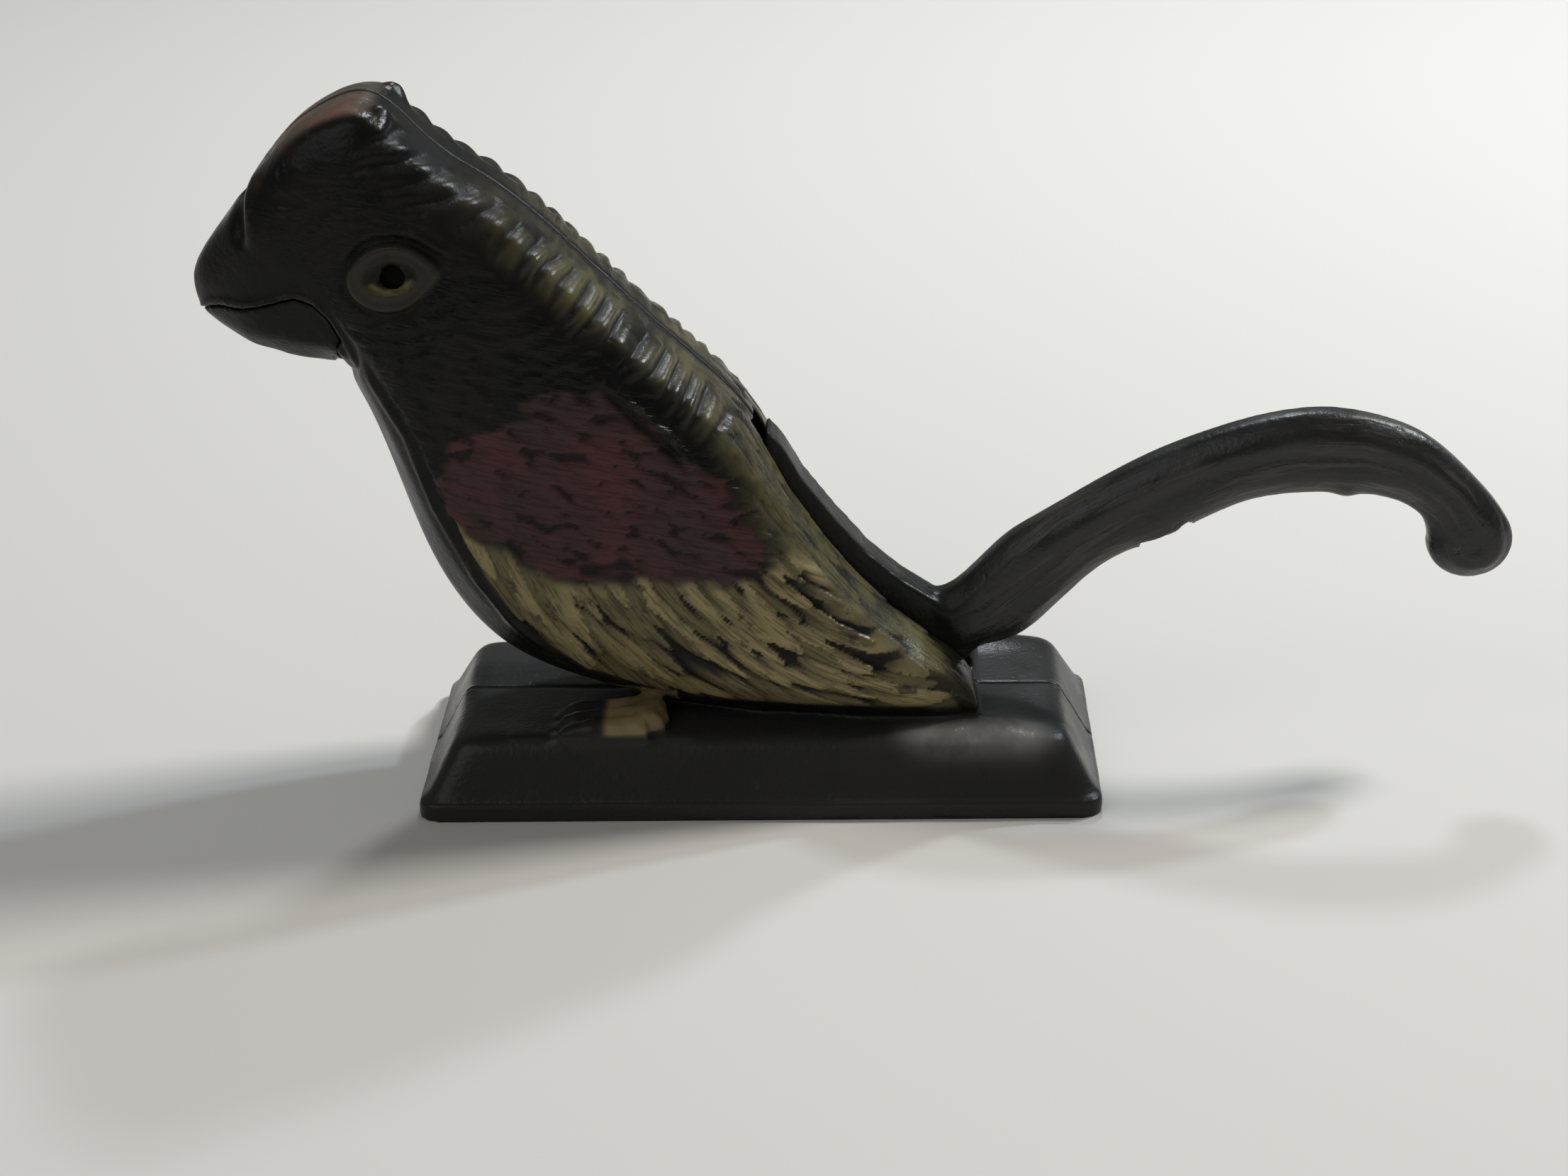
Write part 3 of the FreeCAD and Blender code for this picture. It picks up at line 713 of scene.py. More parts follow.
# small shifts of the mouth's line and the jaw's edges, the same for castings and jaw
mouthShifts = [((-101.6, 99.0), (-0.3, 1.3)), ((-94.5, 99.5), (0, -1.1)), ((-87.3, 100.9), (2.9, 0.2)),
               ((-82.9, 97.3), (2.8, 0.0)), ((-79.6, 92.4), (2.1, -0.1)), ((-79.6, 88.2), (2.7, -1.2)),
               ((-87.2, 90.4), (0.2, -1.6)), ((-94.2, 92.6), (0, -1.4))]
mouthShiftReach = 4.3


def settleMouth(points):
    x, y, z = points.T
    total = np.full(len(x), 1e-6)
    dx, dz = np.zeros(len(x)), np.zeros(len(x))
    for (px, pz), (sx, sz) in mouthShifts:
        near = np.exp(-((x - px) ** 2 + (z - pz) ** 2) / mouthShiftReach ** 2)
        total += near
        dx += near * sx
        dz += near * sz
    share = 1 / np.maximum(total, 1)
    return np.stack([x + dx * share, y, z + dz * share], 1)


castingSettings = {
    "voxel": 0.58, "plugs": ("pivot_pin", "shoulder_rivet", "breast_rivet"), "pinGrow": 1.13,
    "pinRise": 0.45, "pinEnd": 14, "plugStart": 9.0, "keptShare": 0.67,
    "skinTurns": 34, "allTurns": 2, "baseTurns": 40, "footTurns": 7, "crownTurns": 30,
    "outerLeast": 0.6, "seamHalf": 0.9, "mouthClear": 1.4, "eyeClear": 3.3, "slotClear": 7,
    "slotSide": 6.5, "tuftClear": 6, "tuftCentre": (-68.5, 9), "tuftBottom": 131,
    "baseRange": (4, baseTop + 1.5), "baseCore": ((-48, 46), (0, 20.5)), "baseOuterMost": 0.2,
    "footTop": ((-49, -13), (-1, 28), (14.6, anywhere)),
    "footSoft": ((-47, -15), (9.5, anywhere), (15.6, 22)),
    "footRough": ((-47, -15), (9.5, anywhere), (15.4, 22)),
    "footPaint": ((-46, -16), (9.5, anywhere), (15.4, 21)),
    "crownBox": ((-77, -62), (0.9, anywhere), (131, anywhere)),
    "hiddenMost": 0.02, "hiddenSide": 1.5, "hiddenHeight": 21, "undersideNormal": -0.3,
    "undersideHeight": 14, "seamSnap": 0.5, "seamPaint": (0.7, 1.2), "seamPaintHeight": 20,
    "uneven": [(0.12, 7, 60)], "toeUneven": [(0.35, 2.4, 61)],
    "swell": 1.7, "swellCentre": (45, 21.5), "swellStretch": 1.5, "swellWidth": 5.0, "swellTop": 16,
    # a painted sheen: a pale patch on the base's rounded top front edge near the tail, standing in for a
    # highlight
    "paintedSheen": 0.85, "paintedSheenCentre": (23.0, 14.0), "paintedSheenStretch": 0.9, "paintedSheenWidth": 3.2,
    "paintedSheenRise": (24, 40), "paintedSheenFall": (50, 60), "standTop": (15.5, 16.5),
    "chipX": (40, 50), "chipZ": (11, 13.5), "heelX": (-31.5, -29.0), "heelZ": (15.6, 16.4),
    "heightMiddle": 0.5, "heightScale": 0.6,
}
tuftSettings = {"centre": (-68.2, 9.3), "width": 4.6, "power": 4, "from": 134.2, "lowered": 0.62,
                "rise": 1.5, "riseFade": (126, 133), "riseCentre": -70.5, "riseWidth": 7}


def settleCrown(points, settings):
    # low blunt tufts on a slightly raised rear crown
    x, y, z = points.T
    tuftX, tuftSide = settings["centre"]
    away = np.hypot(x - tuftX, np.abs(y) - tuftSide) / settings["width"]
    tuft = np.exp(-away ** settings["power"])
    start = settings["from"]
    z = np.where(z > start, start + (z - start) * (1 - settings["lowered"] * tuft), z)
    z = z + (settings["rise"] * smoothStep(*settings["riseFade"], z)
             * bell(x - settings["riseCentre"], settings["riseWidth"]))
    return np.stack([x, y, z], 1)


def smoothSkin(points, outer, settings):
    # the outer skin, clear of the seam, the mouth, the eye, the tufts and the slot's edge
    x, y, z = points.T
    side = np.abs(y)
    mouthAway = lineField(x, z, mouthLine)[0]
    slotAway = lineField(x, z, slotLine)[0]
    eyeAway = np.hypot(x - eyeCentre[0], z - eyeCentre[1])
    tuftX, tuftSide = settings["tuftCentre"]
    onTuft = ((np.hypot(x - tuftX, side - tuftSide) <= settings["tuftClear"])
              & (z >= settings["tuftBottom"]))
    return ((outer > settings["outerLeast"]) & (side > settings["seamHalf"]) & ~onTuft
            & (mouthAway > settings["mouthClear"]) & (eyeAway > settings["eyeClear"])
            & ((slotAway > settings["slotClear"]) | (side > settings["slotSide"])))


def smoothBase(points, outer, settings):
    # the base's ends and sides, without the middle of its top
    x, y, z = points.T
    side = np.abs(y)
    low, high = settings["baseRange"]
    (x0, x1), (_, coreSide) = settings["baseCore"]
    return ((z < high) & (z > low) & (side > settings["seamHalf"]) & (outer < settings["baseOuterMost"])
            & ((side > coreSide) | (x > x1) | (x < x0)) & ~inBox(points, settings["footTop"]))


def castUneven(points, outer, settings):
    # the uneven surface of the base and the toes, and the base's swell behind the tail
    x, y, z = points.T
    height = sumNoise(points, settings["uneven"]) * (1 - outer)
    height += inBox(points, settings["footRough"]) * sumNoise(points, settings["toeUneven"])
    swellX, swellSide = settings["swellCentre"]
    away = np.hypot((x - swellX) / settings["swellStretch"], np.abs(y) - swellSide)
    height += (settings["swell"] * (1 - outer) * (z < settings["swellTop"])
               * bell(away, settings["swellWidth"]))
    return height


def baseFields(points, outer, settings):
    x, y, z = points.T
    # where the painted sheen lies: along the base's rounded top front edge on the near side, standing in
    # for a highlight
    sheenSide, sheenZ = settings["paintedSheenCentre"]
    edge = bell(np.hypot(np.abs(y) - sheenSide, (z - sheenZ) * settings["paintedSheenStretch"]),
                settings["paintedSheenWidth"])
    foot = inBox(points, settings["footPaint"]) * smoothStep(*settings["heelZ"], z)
    heel = smoothStep(*settings["heelX"], x)
    return {
        "stand": (1 - outer) * (1 - smoothStep(*settings["standTop"], z)),
        "paintedSheen": (settings["paintedSheen"] * (1 - outer) * edge * (y < 0)
                   * between(settings["paintedSheenRise"], settings["paintedSheenFall"], x)),
        "chipZone": (1 - outer) * smoothStep(*settings["chipX"], x) * smoothStep(*settings["chipZ"], z),
        "heel": foot * heel,
        "claw": foot * (1 - heel),
    }


def carveCasting(piece, settings):
    mesh = piece.data
    points, normals = readPoints(mesh)
    outer = outerShare(points, normals, skinSettings)
    for mask, turns in ((smoothSkin(points, outer, settings), settings["skinTurns"]),
                        (np.ones(len(points), bool), settings["allTurns"]),
                        (smoothBase(points, outer, settings), settings["baseTurns"]),
                        (inBox(points, settings["footSoft"]), settings["footTurns"])):
        softenWhere(mesh, mask, turns)
    points = settleCrown(readPoints(mesh)[0], tuftSettings)
    writePoints(mesh, points)
    softenWhere(mesh, inBox(points, settings["crownBox"]), settings["crownTurns"])
    points, normals = readPoints(mesh)
    outer = outerShare(points, normals, skinSettings)
    inside = ((outer < settings["hiddenMost"]) & (np.abs(points[:, 1]) > settings["hiddenSide"])
              & (points[:, 2] > settings["hiddenHeight"]))
    underside = ((normals[:, 2] < settings["undersideNormal"])
                 & (points[:, 2] < settings["undersideHeight"]))
    thinWhere(piece, inside | underside, settings["keptShare"])
    mesh = piece.data
    points, normals = readPoints(mesh)
    outer = outerShare(points, normals, skinSettings)
    relief, fields = birdRelief(points, outer)
    points += normals * (relief + castUneven(points, outer, settings))[:, None]
    points = settleMouth(points)
    side = np.abs(points[:, 1])
    points[:, 1] = np.where(side < settings["seamSnap"], 0, points[:, 1])
    writePoints(mesh, points)
    onSeam = ((1 - smoothStep(*settings["seamPaint"], np.abs(points[:, 1])))
              * (points[:, 2] > settings["seamPaintHeight"]))
    fields["deep"] = np.maximum(fields["deep"], onSeam)
    fields["height"] = np.clip(settings["heightMiddle"] + relief * settings["heightScale"], 0, 1)
    writeFields(mesh, fields | baseFields(points, outer, settings))


castings = []
for nodeName, side in (("near_casting", -1), ("far_casting", 1)):
    piece = castCopy(nodeName.replace("casting", "cast_bird"), nodeName, castingSettings, side)
    carveCasting(piece, castingSettings)
    finishMesh(piece, "stand", nodeName)
    castings.append(piece)

# the lever: ridges and hollows along the handle are given as height, place and width
jawCrease = [(-82.6, 99.4), (-80.0, 96.6), (-77.9, 93.0), (-76.9, 90.0)]
handleLine = [(30, 27), (37.2, 29), (45, 32.1), (53, 38.3), (62.1, 45.9), (71.8, 51.8), (81.8, 56.8),
              (92.8, 61.5), (104.6, 63.9), (116.8, 63.5), (127.5, 60.2), (135, 54.5),
              (138.9, 48.6), (139.7, 45.3)]
leverSettings = {
    "voxel": 0.5, "plugs": (), "jawTurns": 30, "cornerTurns": 8, "handleTurns": 10, "allTurns": 2,
    "outerLeast": 0.6, "mouthClear": 1.2, "jawEnd": -72, "jawCorner": (-79, 87), "cornerReach": 3.5,
    "handleStart": 20, "tailFade": (36, 46),
    "thornCentre": (80, 47), "thornReach": 6, "thornHalf": 4.5, "thornDrawn": 0.88, "thornEdge": 4.9,
    "thicken": 1.6, "topFade": (38, 52), "bottomFade": (46, 88), "curlThin": 0.75,
    "curlFade": (126, 141), "halfWidth": 4.5, "directionStep": 2,
    "uneven": [(0.12, (11, 6, 11), 70)],
    "handleRims": [(0.16, 2.2, 0.9), (-0.14, 0.6, 0.8), (0.10, -2.2, 1.0)],
    "knobs": [((79.0, 46.0), 3.6, 1.1), ((82.2, 47.6), 1.9, 1.2), ((114.5, 55.6), 2.6, 0.8)],
    "knobBelow": -2, "knobHalf": 6,
    "tip": (2.8, 71.2), "tipReach": 3.4, "tipShift": (-1.3, 0.2),
    "creaseDepth": 0.5, "creaseWidth": 0.7, "creaseFade": (0.5, 3), "jawFade": (-76, -78),
}


def handleDirection(along, step):
    # unit direction square to the handle's line, upwards
    lineX, lineZ = np.array(handleLine, float).T
    lineAlong = np.concatenate([[0], np.cumsum(np.hypot(np.diff(lineX), np.diff(lineZ)))])
    stepX, stepZ = (np.interp(along + step, lineAlong, line) - np.interp(along - step, lineAlong, line)
                    for line in (lineX, lineZ))
    size = np.maximum(np.hypot(stepX, stepZ), 1e-6)
    return -stepZ / size, stepX / size


def carveLever(piece, settings):
    mesh = piece.data
    points, normals = readPoints(mesh)
    x, y, z = points.T
    outer = outerShare(points, normals, skinSettings) * (x < settings["jawEnd"])
    jawSkin = ((outer > settings["outerLeast"])
               & (lineField(x, z, mouthLine)[0] > settings["mouthClear"]))
    cornerX, cornerZ = settings["jawCorner"]
    jawCorner = np.hypot(x - cornerX, z - cornerZ) < settings["cornerReach"]
    thornX, thornZ = settings["thornCentre"]
    thorn = ((np.hypot(x - thornX, z - thornZ) < settings["thornReach"])
             & (np.abs(y) < settings["thornHalf"]))
    for mask, turns in ((jawSkin, settings["jawTurns"]), (jawCorner, settings["cornerTurns"]),
                        ((x > settings["handleStart"]) & ~thorn, settings["handleTurns"]),
                        (np.ones(len(points), bool), settings["allTurns"])):
        softenWhere(mesh, mask, turns)
    points, normals = readPoints(mesh)
    x, y, z = points.T
    outer = outerShare(points, normals, skinSettings) * (x < settings["jawEnd"])
    away, sign, along = lineField(x, z, handleLine)
    across = away * sign
    tail = smoothStep(*settings["tailFade"], x)
    turnX, turnZ = handleDirection(along, settings["directionStep"])
    # what is left of the thorn is drawn back into a low knob
    past = -across - settings["thornEdge"]
    z = np.where(thorn & (past > 0), z + settings["thornDrawn"] * past, z)
    grow = (settings["thicken"] * np.clip(across / settings["halfWidth"], -1, 1)
            * np.where(across > 0, smoothStep(*settings["topFade"], x),
                       smoothStep(*settings["bottomFade"], x))
            * (1 - settings["curlThin"] * smoothStep(*settings["curlFade"], x)))
    x, z = x + grow * turnX, z + grow * turnZ
    relief = tail * (sumNoise(points, settings["uneven"])
                     + sum(rim(across, 1, shape) for shape in settings["handleRims"]))
    for (knobX, knobZ), width, height in settings["knobs"]:
        relief += (height * bell(np.hypot(x - knobX, z - knobZ), width)
                   * (across < settings["knobBelow"]) * (np.abs(y) < settings["knobHalf"]))
    tip = bell(np.hypot(x - settings["tip"][0], z - settings["tip"][1]), settings["tipReach"])
    shiftX, shiftZ = settings["tipShift"]
    points = np.stack([x + shiftX * tip, y, z + shiftZ * tip], 1) + normals * relief[:, None]
    points = settleMouth(points)
    creaseAway, _, creaseAlong = lineField(points[:, 0], points[:, 2], jawCrease)
    crease = (bell(creaseAway, settings["creaseWidth"]) * outer
              * smoothStep(*settings["creaseFade"], creaseAlong))
    points -= normals * (settings["creaseDepth"] * crease)[:, None]
    writePoints(mesh, points)
    writeFields(mesh, {"deep": crease, "jaw": smoothStep(*settings["jawFade"], x), "tail": tail,
                       "along": along * mm, "across": across * mm})


leverPiece = castCopy("tail_lever_cast", "tail_lever_with_jaw", leverSettings)
carveLever(leverPiece, leverSettings)
finishMesh(leverPiece, "lever", "tail_lever_with_jaw")


# node groups shared by the materials
def setInputs(tree, node, values):
    for key, value in values.items():
        if isinstance(value, bpy.types.NodeSocket):
            tree.links.new(value, node.inputs[key])
        else:
            node.inputs[key].default_value = value


def addNode(tree, kind, values=None, **settings):
    node = tree.nodes.new("ShaderNode" + kind)
    for key, value in settings.items():
        setattr(node, key, value)
    setInputs(tree, node, values or {})
    return node


def blendColour(tree, factor, first, second):
    return addNode(tree, "Mix", {0: factor, 6: first, 7: second}, data_type="RGBA",
                   clamp_factor=True).outputs[2]


def calc(tree, operation, first, second=0.0, clamp=False):
    return addNode(tree, "Math", {0: first, 1: second}, operation=operation,
                   use_clamp=clamp).outputs[0]


def times(tree, first, second):
    return calc(tree, "MULTIPLY", first, second)


def ramp(tree, value, low, high, toLow=0.0, toHigh=1.0):
    return addNode(tree, "MapRange", {"Value": value, "From Min": low, "From Max": high,
                                      "To Min": toLow, "To Max": toHigh},
                   interpolation_type="SMOOTHSTEP").outputs[0]


def noiseAt(tree, coordinates, scale, detail=3.0, roughness=0.55):
    return addNode(tree, "TexNoise", {"Vector": coordinates, "Scale": scale, "Detail": detail,
                                      "Roughness": roughness}).outputs["Fac"]


def startGroup(name, inputs, outputs):
    tree = bpy.data.node_groups.new(name, "ShaderNodeTree")
    for label, value in inputs.items():
        socket = tree.interface.new_socket(label, in_out="INPUT", socket_type="NodeSocketFloat")
        socket.default_value = value
    for label in outputs:
        tree.interface.new_socket(label, in_out="OUTPUT", socket_type="NodeSocketFloat")
    given = tree.nodes.new("NodeGroupInput").outputs
    return tree, given, tree.nodes.new("NodeGroupOutput").inputs, objectPlace(tree)


def objectPlace(tree):
    return tree.nodes.new("ShaderNodeTexCoord").outputs["Object"]


def makeCastGrain():
    # the skin of sand-cast iron under paint: fine grain, soft lumps and slow blotches
    tree, given, out, spot = startGroup("castGrain", {"Scale": 900.0, "Lumps": 0.5},
                                        ("Height", "Blotch"))
    fine = noiseAt(tree, spot, given["Scale"], 4.0, 0.6)
    lump = noiseAt(tree, spot, times(tree, given["Scale"], 0.3), 2.0)
    blotch = noiseAt(tree, spot, times(tree, given["Scale"], 0.055), 4.0, 0.6)
    height = calc(tree, "ADD", fine, times(tree, lump, given["Lumps"]))
    tree.links.new(height, out["Height"])
    tree.links.new(ramp(tree, blotch, 0.36, 0.64), out["Blotch"])
    return tree


def makePaintWear():
    # where paint has rubbed off: high places first, broken up by noise, never in grooves
    tree, given, out, spot = startGroup("paintWear", {"Raised": 0.5, "Deep": 0.0, "Amount": 0.3},
                                        ("Wear", "Chip"))
    broad = noiseAt(tree, spot, 120.0, 5.0, 0.65)
    small = noiseAt(tree, spot, 620.0, 3.0, 0.6)
    rub = calc(tree, "ADD", times(tree, given["Raised"], 0.55), times(tree, broad, 0.9))
    rub = calc(tree, "SUBTRACT", calc(tree, "ADD", rub, times(tree, small, 0.35)),
               times(tree, given["Deep"], 0.8))
    edge = calc(tree, "SUBTRACT", 1.22, times(tree, given["Amount"], 0.6))
    tree.links.new(ramp(tree, rub, edge, calc(tree, "ADD", edge, 0.14)), out["Wear"])
    chips = addNode(tree, "TexVoronoi", {"Vector": spot, "Scale": 260.0}, feature="F1")
    chip = times(tree, ramp(tree, chips.outputs["Distance"], 0.30, 0.22),
                 ramp(tree, broad, 0.60, 0.70))
    tree.links.new(chip, out["Chip"])
    return tree


def makeRecessDust():
    # old dust and dull wax that stays in grooves and in a few patches
    tree, given, out, spot = startGroup("recessDust", {"Deep": 0.0, "Amount": 0.5}, ("Mask",))
    patch = ramp(tree, noiseAt(tree, spot, 75.0, 5.0, 0.62), 0.52, 0.72)
    grit = noiseAt(tree, spot, 1500.0, 2.0)
    dust = calc(tree, "ADD", times(tree, given["Deep"], 0.7), times(tree, patch, 0.6))
    tree.links.new(calc(tree, "MULTIPLY", times(tree, dust, grit), given["Amount"], True), out["Mask"])
    return tree


castGrain, paintWear, recessDust = makeCastGrain(), makePaintWear(), makeRecessDust()


def placeGroup(tree, group, values):
    node = tree.nodes.new("ShaderNodeGroup")
    node.node_tree = group
    setInputs(tree, node, values)
    return node.outputs


def startMaterial(name):
    material = bpy.data.materials.new(name)
    material.use_nodes = True
    tree = material.node_tree
    return material, tree, tree.nodes["Principled BSDF"]


def field(tree, name):
    return addNode(tree, "Attribute", attribute_name=name).outputs["Fac"]


def surfaceGroups(tree, settings, scale, lumps, raised, deep):
    return (placeGroup(tree, castGrain, {"Scale": scale, "Lumps": lumps}),
            placeGroup(tree, paintWear, {"Raised": raised, "Deep": deep,
                                         "Amount": settings["wearAmount"]}),
            placeGroup(tree, recessDust, {"Deep": deep, "Amount": settings["dustAmount"]}))


def streakNoise(tree, along, across, stretch, scale, detail):
    # noise drawn out along a direction that the mesh carries as two fields
    flow = addNode(tree, "CombineXYZ", {0: times(tree, field(tree, along), stretch),
                                        1: field(tree, across), 2: 0.0}).outputs[0]
    return noiseAt(tree, flow, scale, detail, 0.6)


def addBump(tree, shader, level, strength, distance):
    bump = addNode(tree, "Bump", {"Strength": strength, "Distance": distance, "Height": level})
    tree.links.new(bump.outputs[0], shader.inputs["Normal"])


birdFinish = {
    "black": (0.0050, 0.0050, 0.0054, 1), "brown": (0.0100, 0.0094, 0.0082, 1),
    # the near-white colour here is a painted sheen for the base's top front edge, standing in for a
    # highlight, not a colour of the iron
    "base": (0.0270, 0.0265, 0.0255, 1), "paintedSheenColour": (0.550, 0.535, 0.500, 1),
    "maroon": (0.048, 0.0265, 0.0275, 1), "red": (0.084, 0.0290, 0.0300, 1),
    "gold": (0.285, 0.235, 0.115, 1), "goldDark": (0.140, 0.118, 0.060, 1),
    "olive": (0.105, 0.092, 0.040, 1), "moss": (0.052, 0.051, 0.036, 1),
    "crown": (0.170, 0.088, 0.062, 1), "eyeGold": (0.230, 0.185, 0.075, 1),
    "lid": (0.026, 0.027, 0.018, 1), "pupil": (0.004, 0.004, 0.0035, 1),
    "heel": (0.230, 0.175, 0.085, 1), "claw": (0.022, 0.021, 0.020, 1),
    "rubbed": (0.036, 0.031, 0.025, 1), "groove": (0.0035, 0.0034, 0.0033, 1),
    "dust": (0.13, 0.12, 0.10, 1), "primer": (0.200, 0.170, 0.130, 1),
    "wearAmount": 0.32, "dustAmount": 0.04, "shine": 0.16,
    "strandShare": 0.68, "wearShare": 0.75, "grooveShare": 0.85,
    "roughness": (0.21, 0.34), "grooveRoughness": 0.25, "wearRoughness": 0.06,
    "goldMetal": 0.20, "paintedSheenMetal": 0.6, "bump": (0.45, 0.00024),
}


def makeBirdPaint(settings):
    material, tree, shader = startMaterial("oldBirdPaint")
    deep, raised, gold = (field(tree, name) for name in ("deep", "height", "gold"))
    grain, wear, dust = surfaceGroups(tree, settings, 1000.0, 0.8, raised, deep)
    blotch = grain["Blotch"]
    strand = streakNoise(tree, "flowAlong", "flowAcross", 0.10, 1500.0, 2.0)
    darkStrand = times(tree, ramp(tree, strand, 0.50, 0.38), field(tree, "plumed"))
    # painted sheen: a pale, partly metallic patch on the base's top front edge in place of a highlight
    paintedSheenMask = times(tree, field(tree, "paintedSheen"), ramp(tree, blotch, 0, 1, 0.5, 1.0))

    def mixed(factor, first, second):
        return blendColour(tree, factor, settings[first], settings[second])

    # each coat covers the ones before it where its mask is
    coats = [
        (field(tree, "stand"), settings["base"]),
        (field(tree, "maroon"), mixed(blotch, "maroon", "red")),
        (times(tree, field(tree, "olive"), ramp(tree, raised, 0.25, 0.60, 0.45, 1.0)),
         mixed(blotch, "moss", "olive")),
        (times(tree, gold, ramp(tree, raised, 0.25, 0.62, 0.30, 1.0)),
         mixed(ramp(tree, field(tree, "leafTone"), 0.25, 0.75), "goldDark", "gold")),
        (times(tree, darkStrand, settings["strandShare"]), settings["black"]),
        (field(tree, "crown"), mixed(blotch, "moss", "crown")),
        (times(tree, wear["Chip"], field(tree, "chipZone")), settings["primer"]),
        # the painted sheen on the base's top front edge
        (paintedSheenMask, settings["paintedSheenColour"]),
        (times(tree, field(tree, "heel"), ramp(tree, blotch, 0, 1, 0.55, 1.0)), settings["heel"]),
        (field(tree, "claw"), settings["claw"]),
        (field(tree, "lid"), settings["lid"]),
        (times(tree, wear["Wear"], settings["wearShare"]), settings["rubbed"]),
        (field(tree, "opening"), settings["pupil"]),
        (field(tree, "eyeGold"), settings["eyeGold"]),
        (times(tree, deep, settings["grooveShare"]), settings["groove"]),
        (dust["Mask"], settings["dust"]),
    ]
    colour = mixed(blotch, "black", "brown")
    for mask, coat in coats:
        colour = blendColour(tree, mask, colour, coat)
    tree.links.new(colour, shader.inputs["Base Color"])
    rough = calc(tree, "ADD", ramp(tree, blotch, 0, 1, *settings["roughness"]),
                 times(tree, deep, settings["grooveRoughness"]))
    rough = calc(tree, "ADD", rough, times(tree, wear["Wear"], settings["wearRoughness"]), True)
    tree.links.new(rough, shader.inputs["Roughness"])
    metal = calc(tree, "ADD", times(tree, gold, settings["goldMetal"]),
                 times(tree, paintedSheenMask, settings["paintedSheenMetal"]), True)
    tree.links.new(metal, shader.inputs["Metallic"])
    shader.inputs["Specular IOR Level"].default_value = settings["shine"]
    level = calc(tree, "SUBTRACT", grain["Height"], times(tree, wear["Chip"], 1.2))
    level = calc(tree, "SUBTRACT", level, times(tree, darkStrand, 0.8))
    addBump(tree, shader, level, *settings["bump"])
    return material


leverFinish = {
    "black": (0.0110, 0.0110, 0.0108, 1), "grey": (0.021, 0.0205, 0.020, 1),
    "streak": (0.058, 0.054, 0.042, 1), "jaw": (0.0075, 0.0075, 0.0066, 1),
    "rubbed": (0.075, 0.072, 0.067, 1), "dust": (0.15, 0.14, 0.125, 1),
    "groove": (0.005, 0.005, 0.005, 1), "wearAmount": 0.25, "dustAmount": 0.05, "shine": 0.42,
    "jawShine": 0.16, "streakShare": 0.6, "wearShare": 0.7, "grooveShare": 0.85,
    "roughness": (0.30, 0.42), "bump": (0.45, 0.00030),
}


def makeLeverIron(settings):
    material, tree, shader = startMaterial("blackLeverIron")
    deep, tail = field(tree, "deep"), field(tree, "tail")
    grain, wear, dust = surfaceGroups(tree, settings, 850.0, 1.2, 0.5, deep)
    streak = streakNoise(tree, "along", "across", 0.07, 520.0, 3.0)
    streaks = times(tree, ramp(tree, streak, 0.5, 0.66), tail)
    colour = blendColour(tree, grain["Blotch"], settings["black"], settings["grey"])
    for mask, coat in ((times(tree, streaks, settings["streakShare"]), "streak"),
                       (field(tree, "jaw"), "jaw"),
                       (times(tree, wear["Wear"], settings["wearShare"]), "rubbed"),
                       (times(tree, deep, settings["grooveShare"]), "groove"),
                       (dust["Mask"], "dust")):
        colour = blendColour(tree, mask, colour, settings[coat])
    tree.links.new(colour, shader.inputs["Base Color"])
    tree.links.new(ramp(tree, grain["Blotch"], 0, 1, *settings["roughness"]),
                   shader.inputs["Roughness"])
    tree.links.new(ramp(tree, tail, 0, 1, settings["jawShine"], settings["shine"]),
                   shader.inputs["Specular IOR Level"])
    level = calc(tree, "SUBTRACT", calc(tree, "ADD", grain["Height"], times(tree, streaks, 0.5)),
                 times(tree, wear["Chip"], 1.2))
    addBump(tree, shader, level, *settings["bump"])
    return material


pinFinish = {"steel": (0.045, 0.042, 0.039, 1), "stain": (0.014, 0.012, 0.011, 1),
             "rubbed": (0.09, 0.085, 0.08, 1), "wearAmount": 0.3, "metal": 0.7, "shine": 0.38}
pupilFinish = {"steel": (0.006, 0.006, 0.0055, 1), "stain": (0.003, 0.003, 0.003, 1),
               "rubbed": (0.09, 0.085, 0.08, 1), "wearAmount": 0.0, "metal": 0.0, "shine": 0.03}


def makePinSteel(name, settings):
    material, tree, shader = startMaterial(name)
    grain = placeGroup(tree, castGrain, {"Scale": 1400.0, "Lumps": 0.4})
    wear = placeGroup(tree, paintWear, {"Raised": 0.5, "Deep": 0.0,
                                        "Amount": settings["wearAmount"]})
    colour = blendColour(tree, grain["Blotch"], settings["stain"], settings["steel"])
    colour = blendColour(tree, times(tree, wear["Wear"], 0.5), colour, settings["rubbed"])
    tree.links.new(colour, shader.inputs["Base Color"])
    tree.links.new(ramp(tree, grain["Blotch"], 0, 1, 0.5, 0.34), shader.inputs["Roughness"])
    shader.inputs["Metallic"].default_value = settings["metal"]
    shader.inputs["Specular IOR Level"].default_value = settings["shine"]
    addBump(tree, shader, grain["Height"], 0.25, 0.0001)
    return material


def paintPiece(piece, material):
    piece.data.materials.clear()
    piece.data.materials.append(material)


birdPaint = makeBirdPaint(birdFinish)
for piece in castings:
    paintPiece(piece, birdPaint)
paintPiece(leverPiece, makeLeverIron(leverFinish))
pinSteel = makePinSteel("dullPinSteel", pinFinish)
pupilPaint = makePinSteel("blackPupilPaint", pupilFinish)
for nodeName in ("pivot_pin", "eye_rivet", "shoulder_rivet", "breast_rivet"):
    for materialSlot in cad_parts[nodeName].material_slots:
        materialSlot.material = pupilPaint if nodeName == "eye_rivet" else pinSteel
print("materials set")

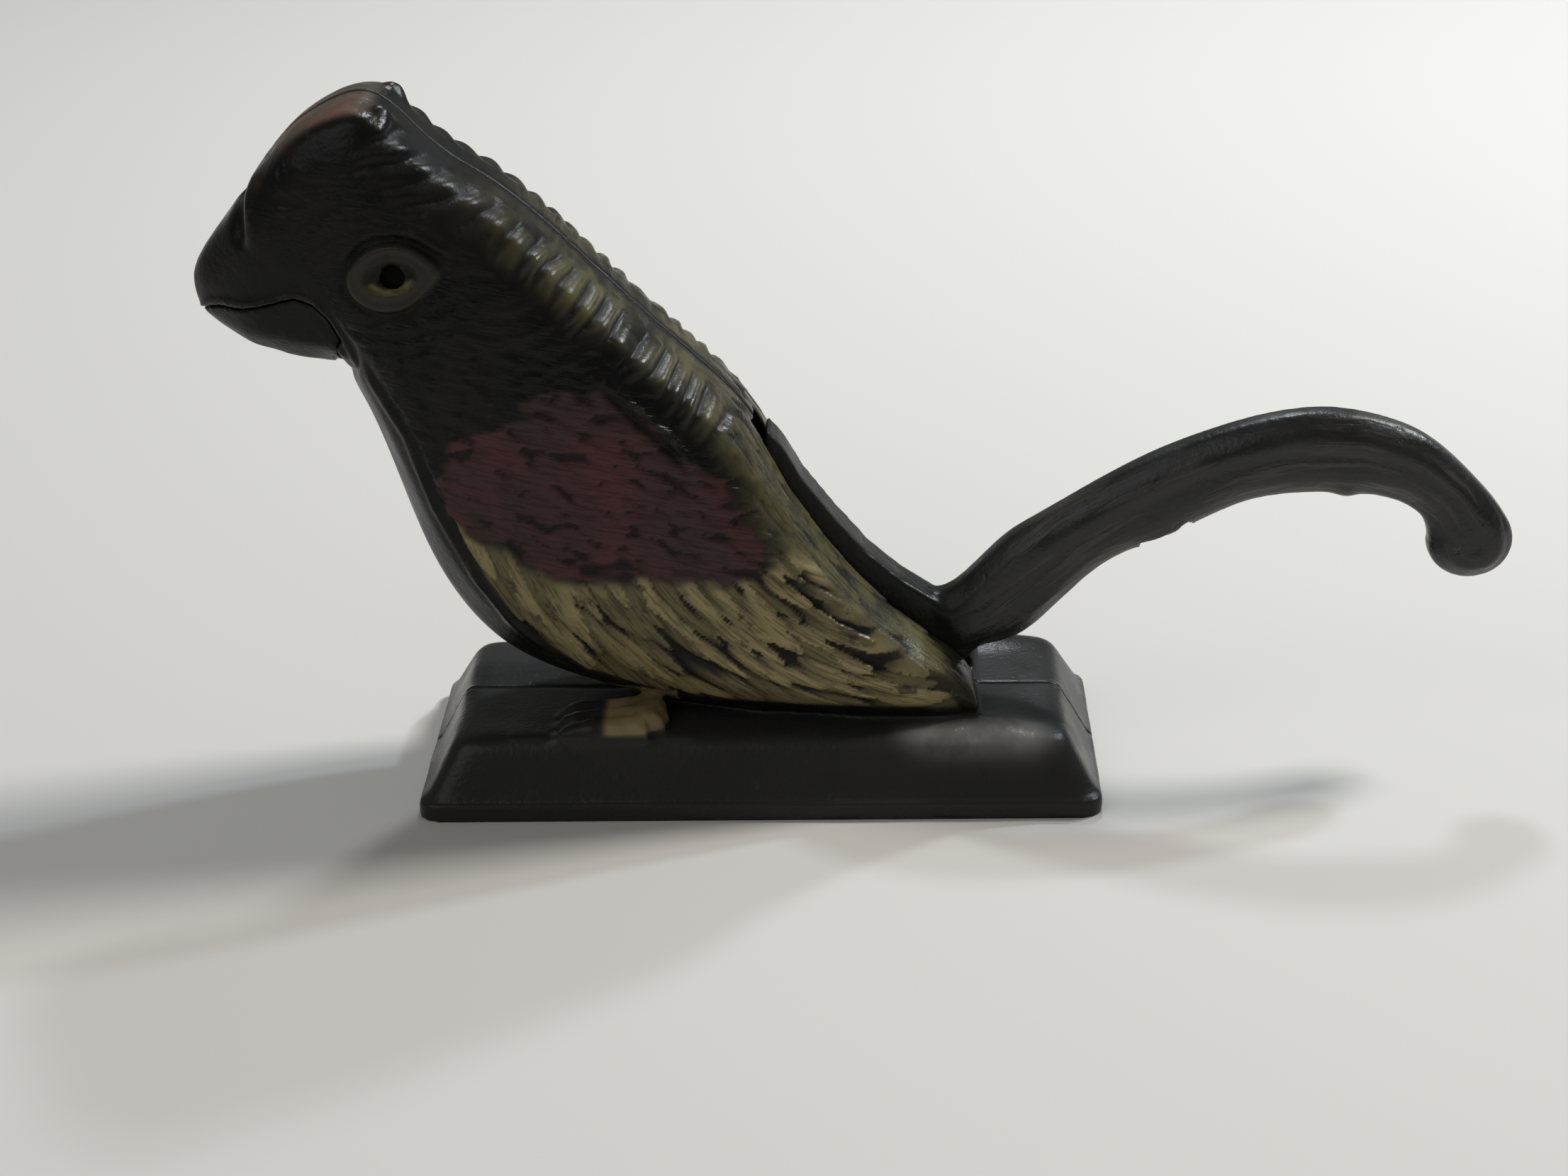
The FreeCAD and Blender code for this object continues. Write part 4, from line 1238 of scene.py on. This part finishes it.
# floor, lamps and world; places and sizes in metres
stageSettings = {"floorSize": 6.0, "floorColour": (0.70, 0.675, 0.63, 1), "floorRoughness": 0.9,
                 "floorShine": 0.2, "worldColour": (0.90, 0.90, 0.88, 1), "worldStrength": 0.16,
                 "lampAim": (0, 0, 0.07)}
lampSettings = {
    "key": {"place": (1.10, 0.55, 1.40), "size": 0.36, "power": 21.0, "colour": (1, 0.985, 0.95)},
    "window": {"place": (0.10, 0.95, 1.10), "size": 0.13, "power": 5.0, "colour": (0.88, 0.94, 1.0)},
    "glint": {"place": (0.98, 0.70, 1.02), "size": 0.09, "power": 7.0, "colour": (0.72, 0.85, 1.0)},
    "fill": {"place": (-0.9, -1.0, 1.2), "size": 1.2, "power": 5.0, "colour": (0.97, 0.98, 1.0)},
}


def makeFloor(settings):
    bm = bmesh.new()
    bmesh.ops.create_grid(bm, x_segments=1, y_segments=1, size=settings["floorSize"])
    mesh = bpy.data.meshes.new("floor")
    bm.to_mesh(mesh)
    bm.free()
    floor = bpy.data.objects.new("floor", mesh)
    scene.collection.objects.link(floor)
    material, _, shader = startMaterial("paleFloor")
    shader.inputs["Base Color"].default_value = settings["floorColour"]
    shader.inputs["Roughness"].default_value = settings["floorRoughness"]
    shader.inputs["Specular IOR Level"].default_value = settings["floorShine"]
    mesh.materials.append(material)


def makeLamp(name, settings, aim):
    data = bpy.data.lights.new(name, "AREA")
    data.size = settings["size"]
    data.energy = settings["power"]
    data.color = settings["colour"]
    lamp = bpy.data.objects.new(name, data)
    scene.collection.objects.link(lamp)
    lamp.location = settings["place"]
    lamp.rotation_euler = (Vector(aim) - lamp.location).to_track_quat("-Z", "Y").to_euler()


def makeWorld(settings):
    world = bpy.data.worlds.new("paleRoom")
    world.use_nodes = True
    scene.world = world
    background = world.node_tree.nodes["Background"]
    background.inputs["Color"].default_value = settings["worldColour"]
    background.inputs["Strength"].default_value = settings["worldStrength"]


makeFloor(stageSettings)
for lampName, lampValues in lampSettings.items():
    makeLamp(lampName, lampValues, stageSettings["lampAim"])
makeWorld(stageSettings)
print("floor, lamps and world set")
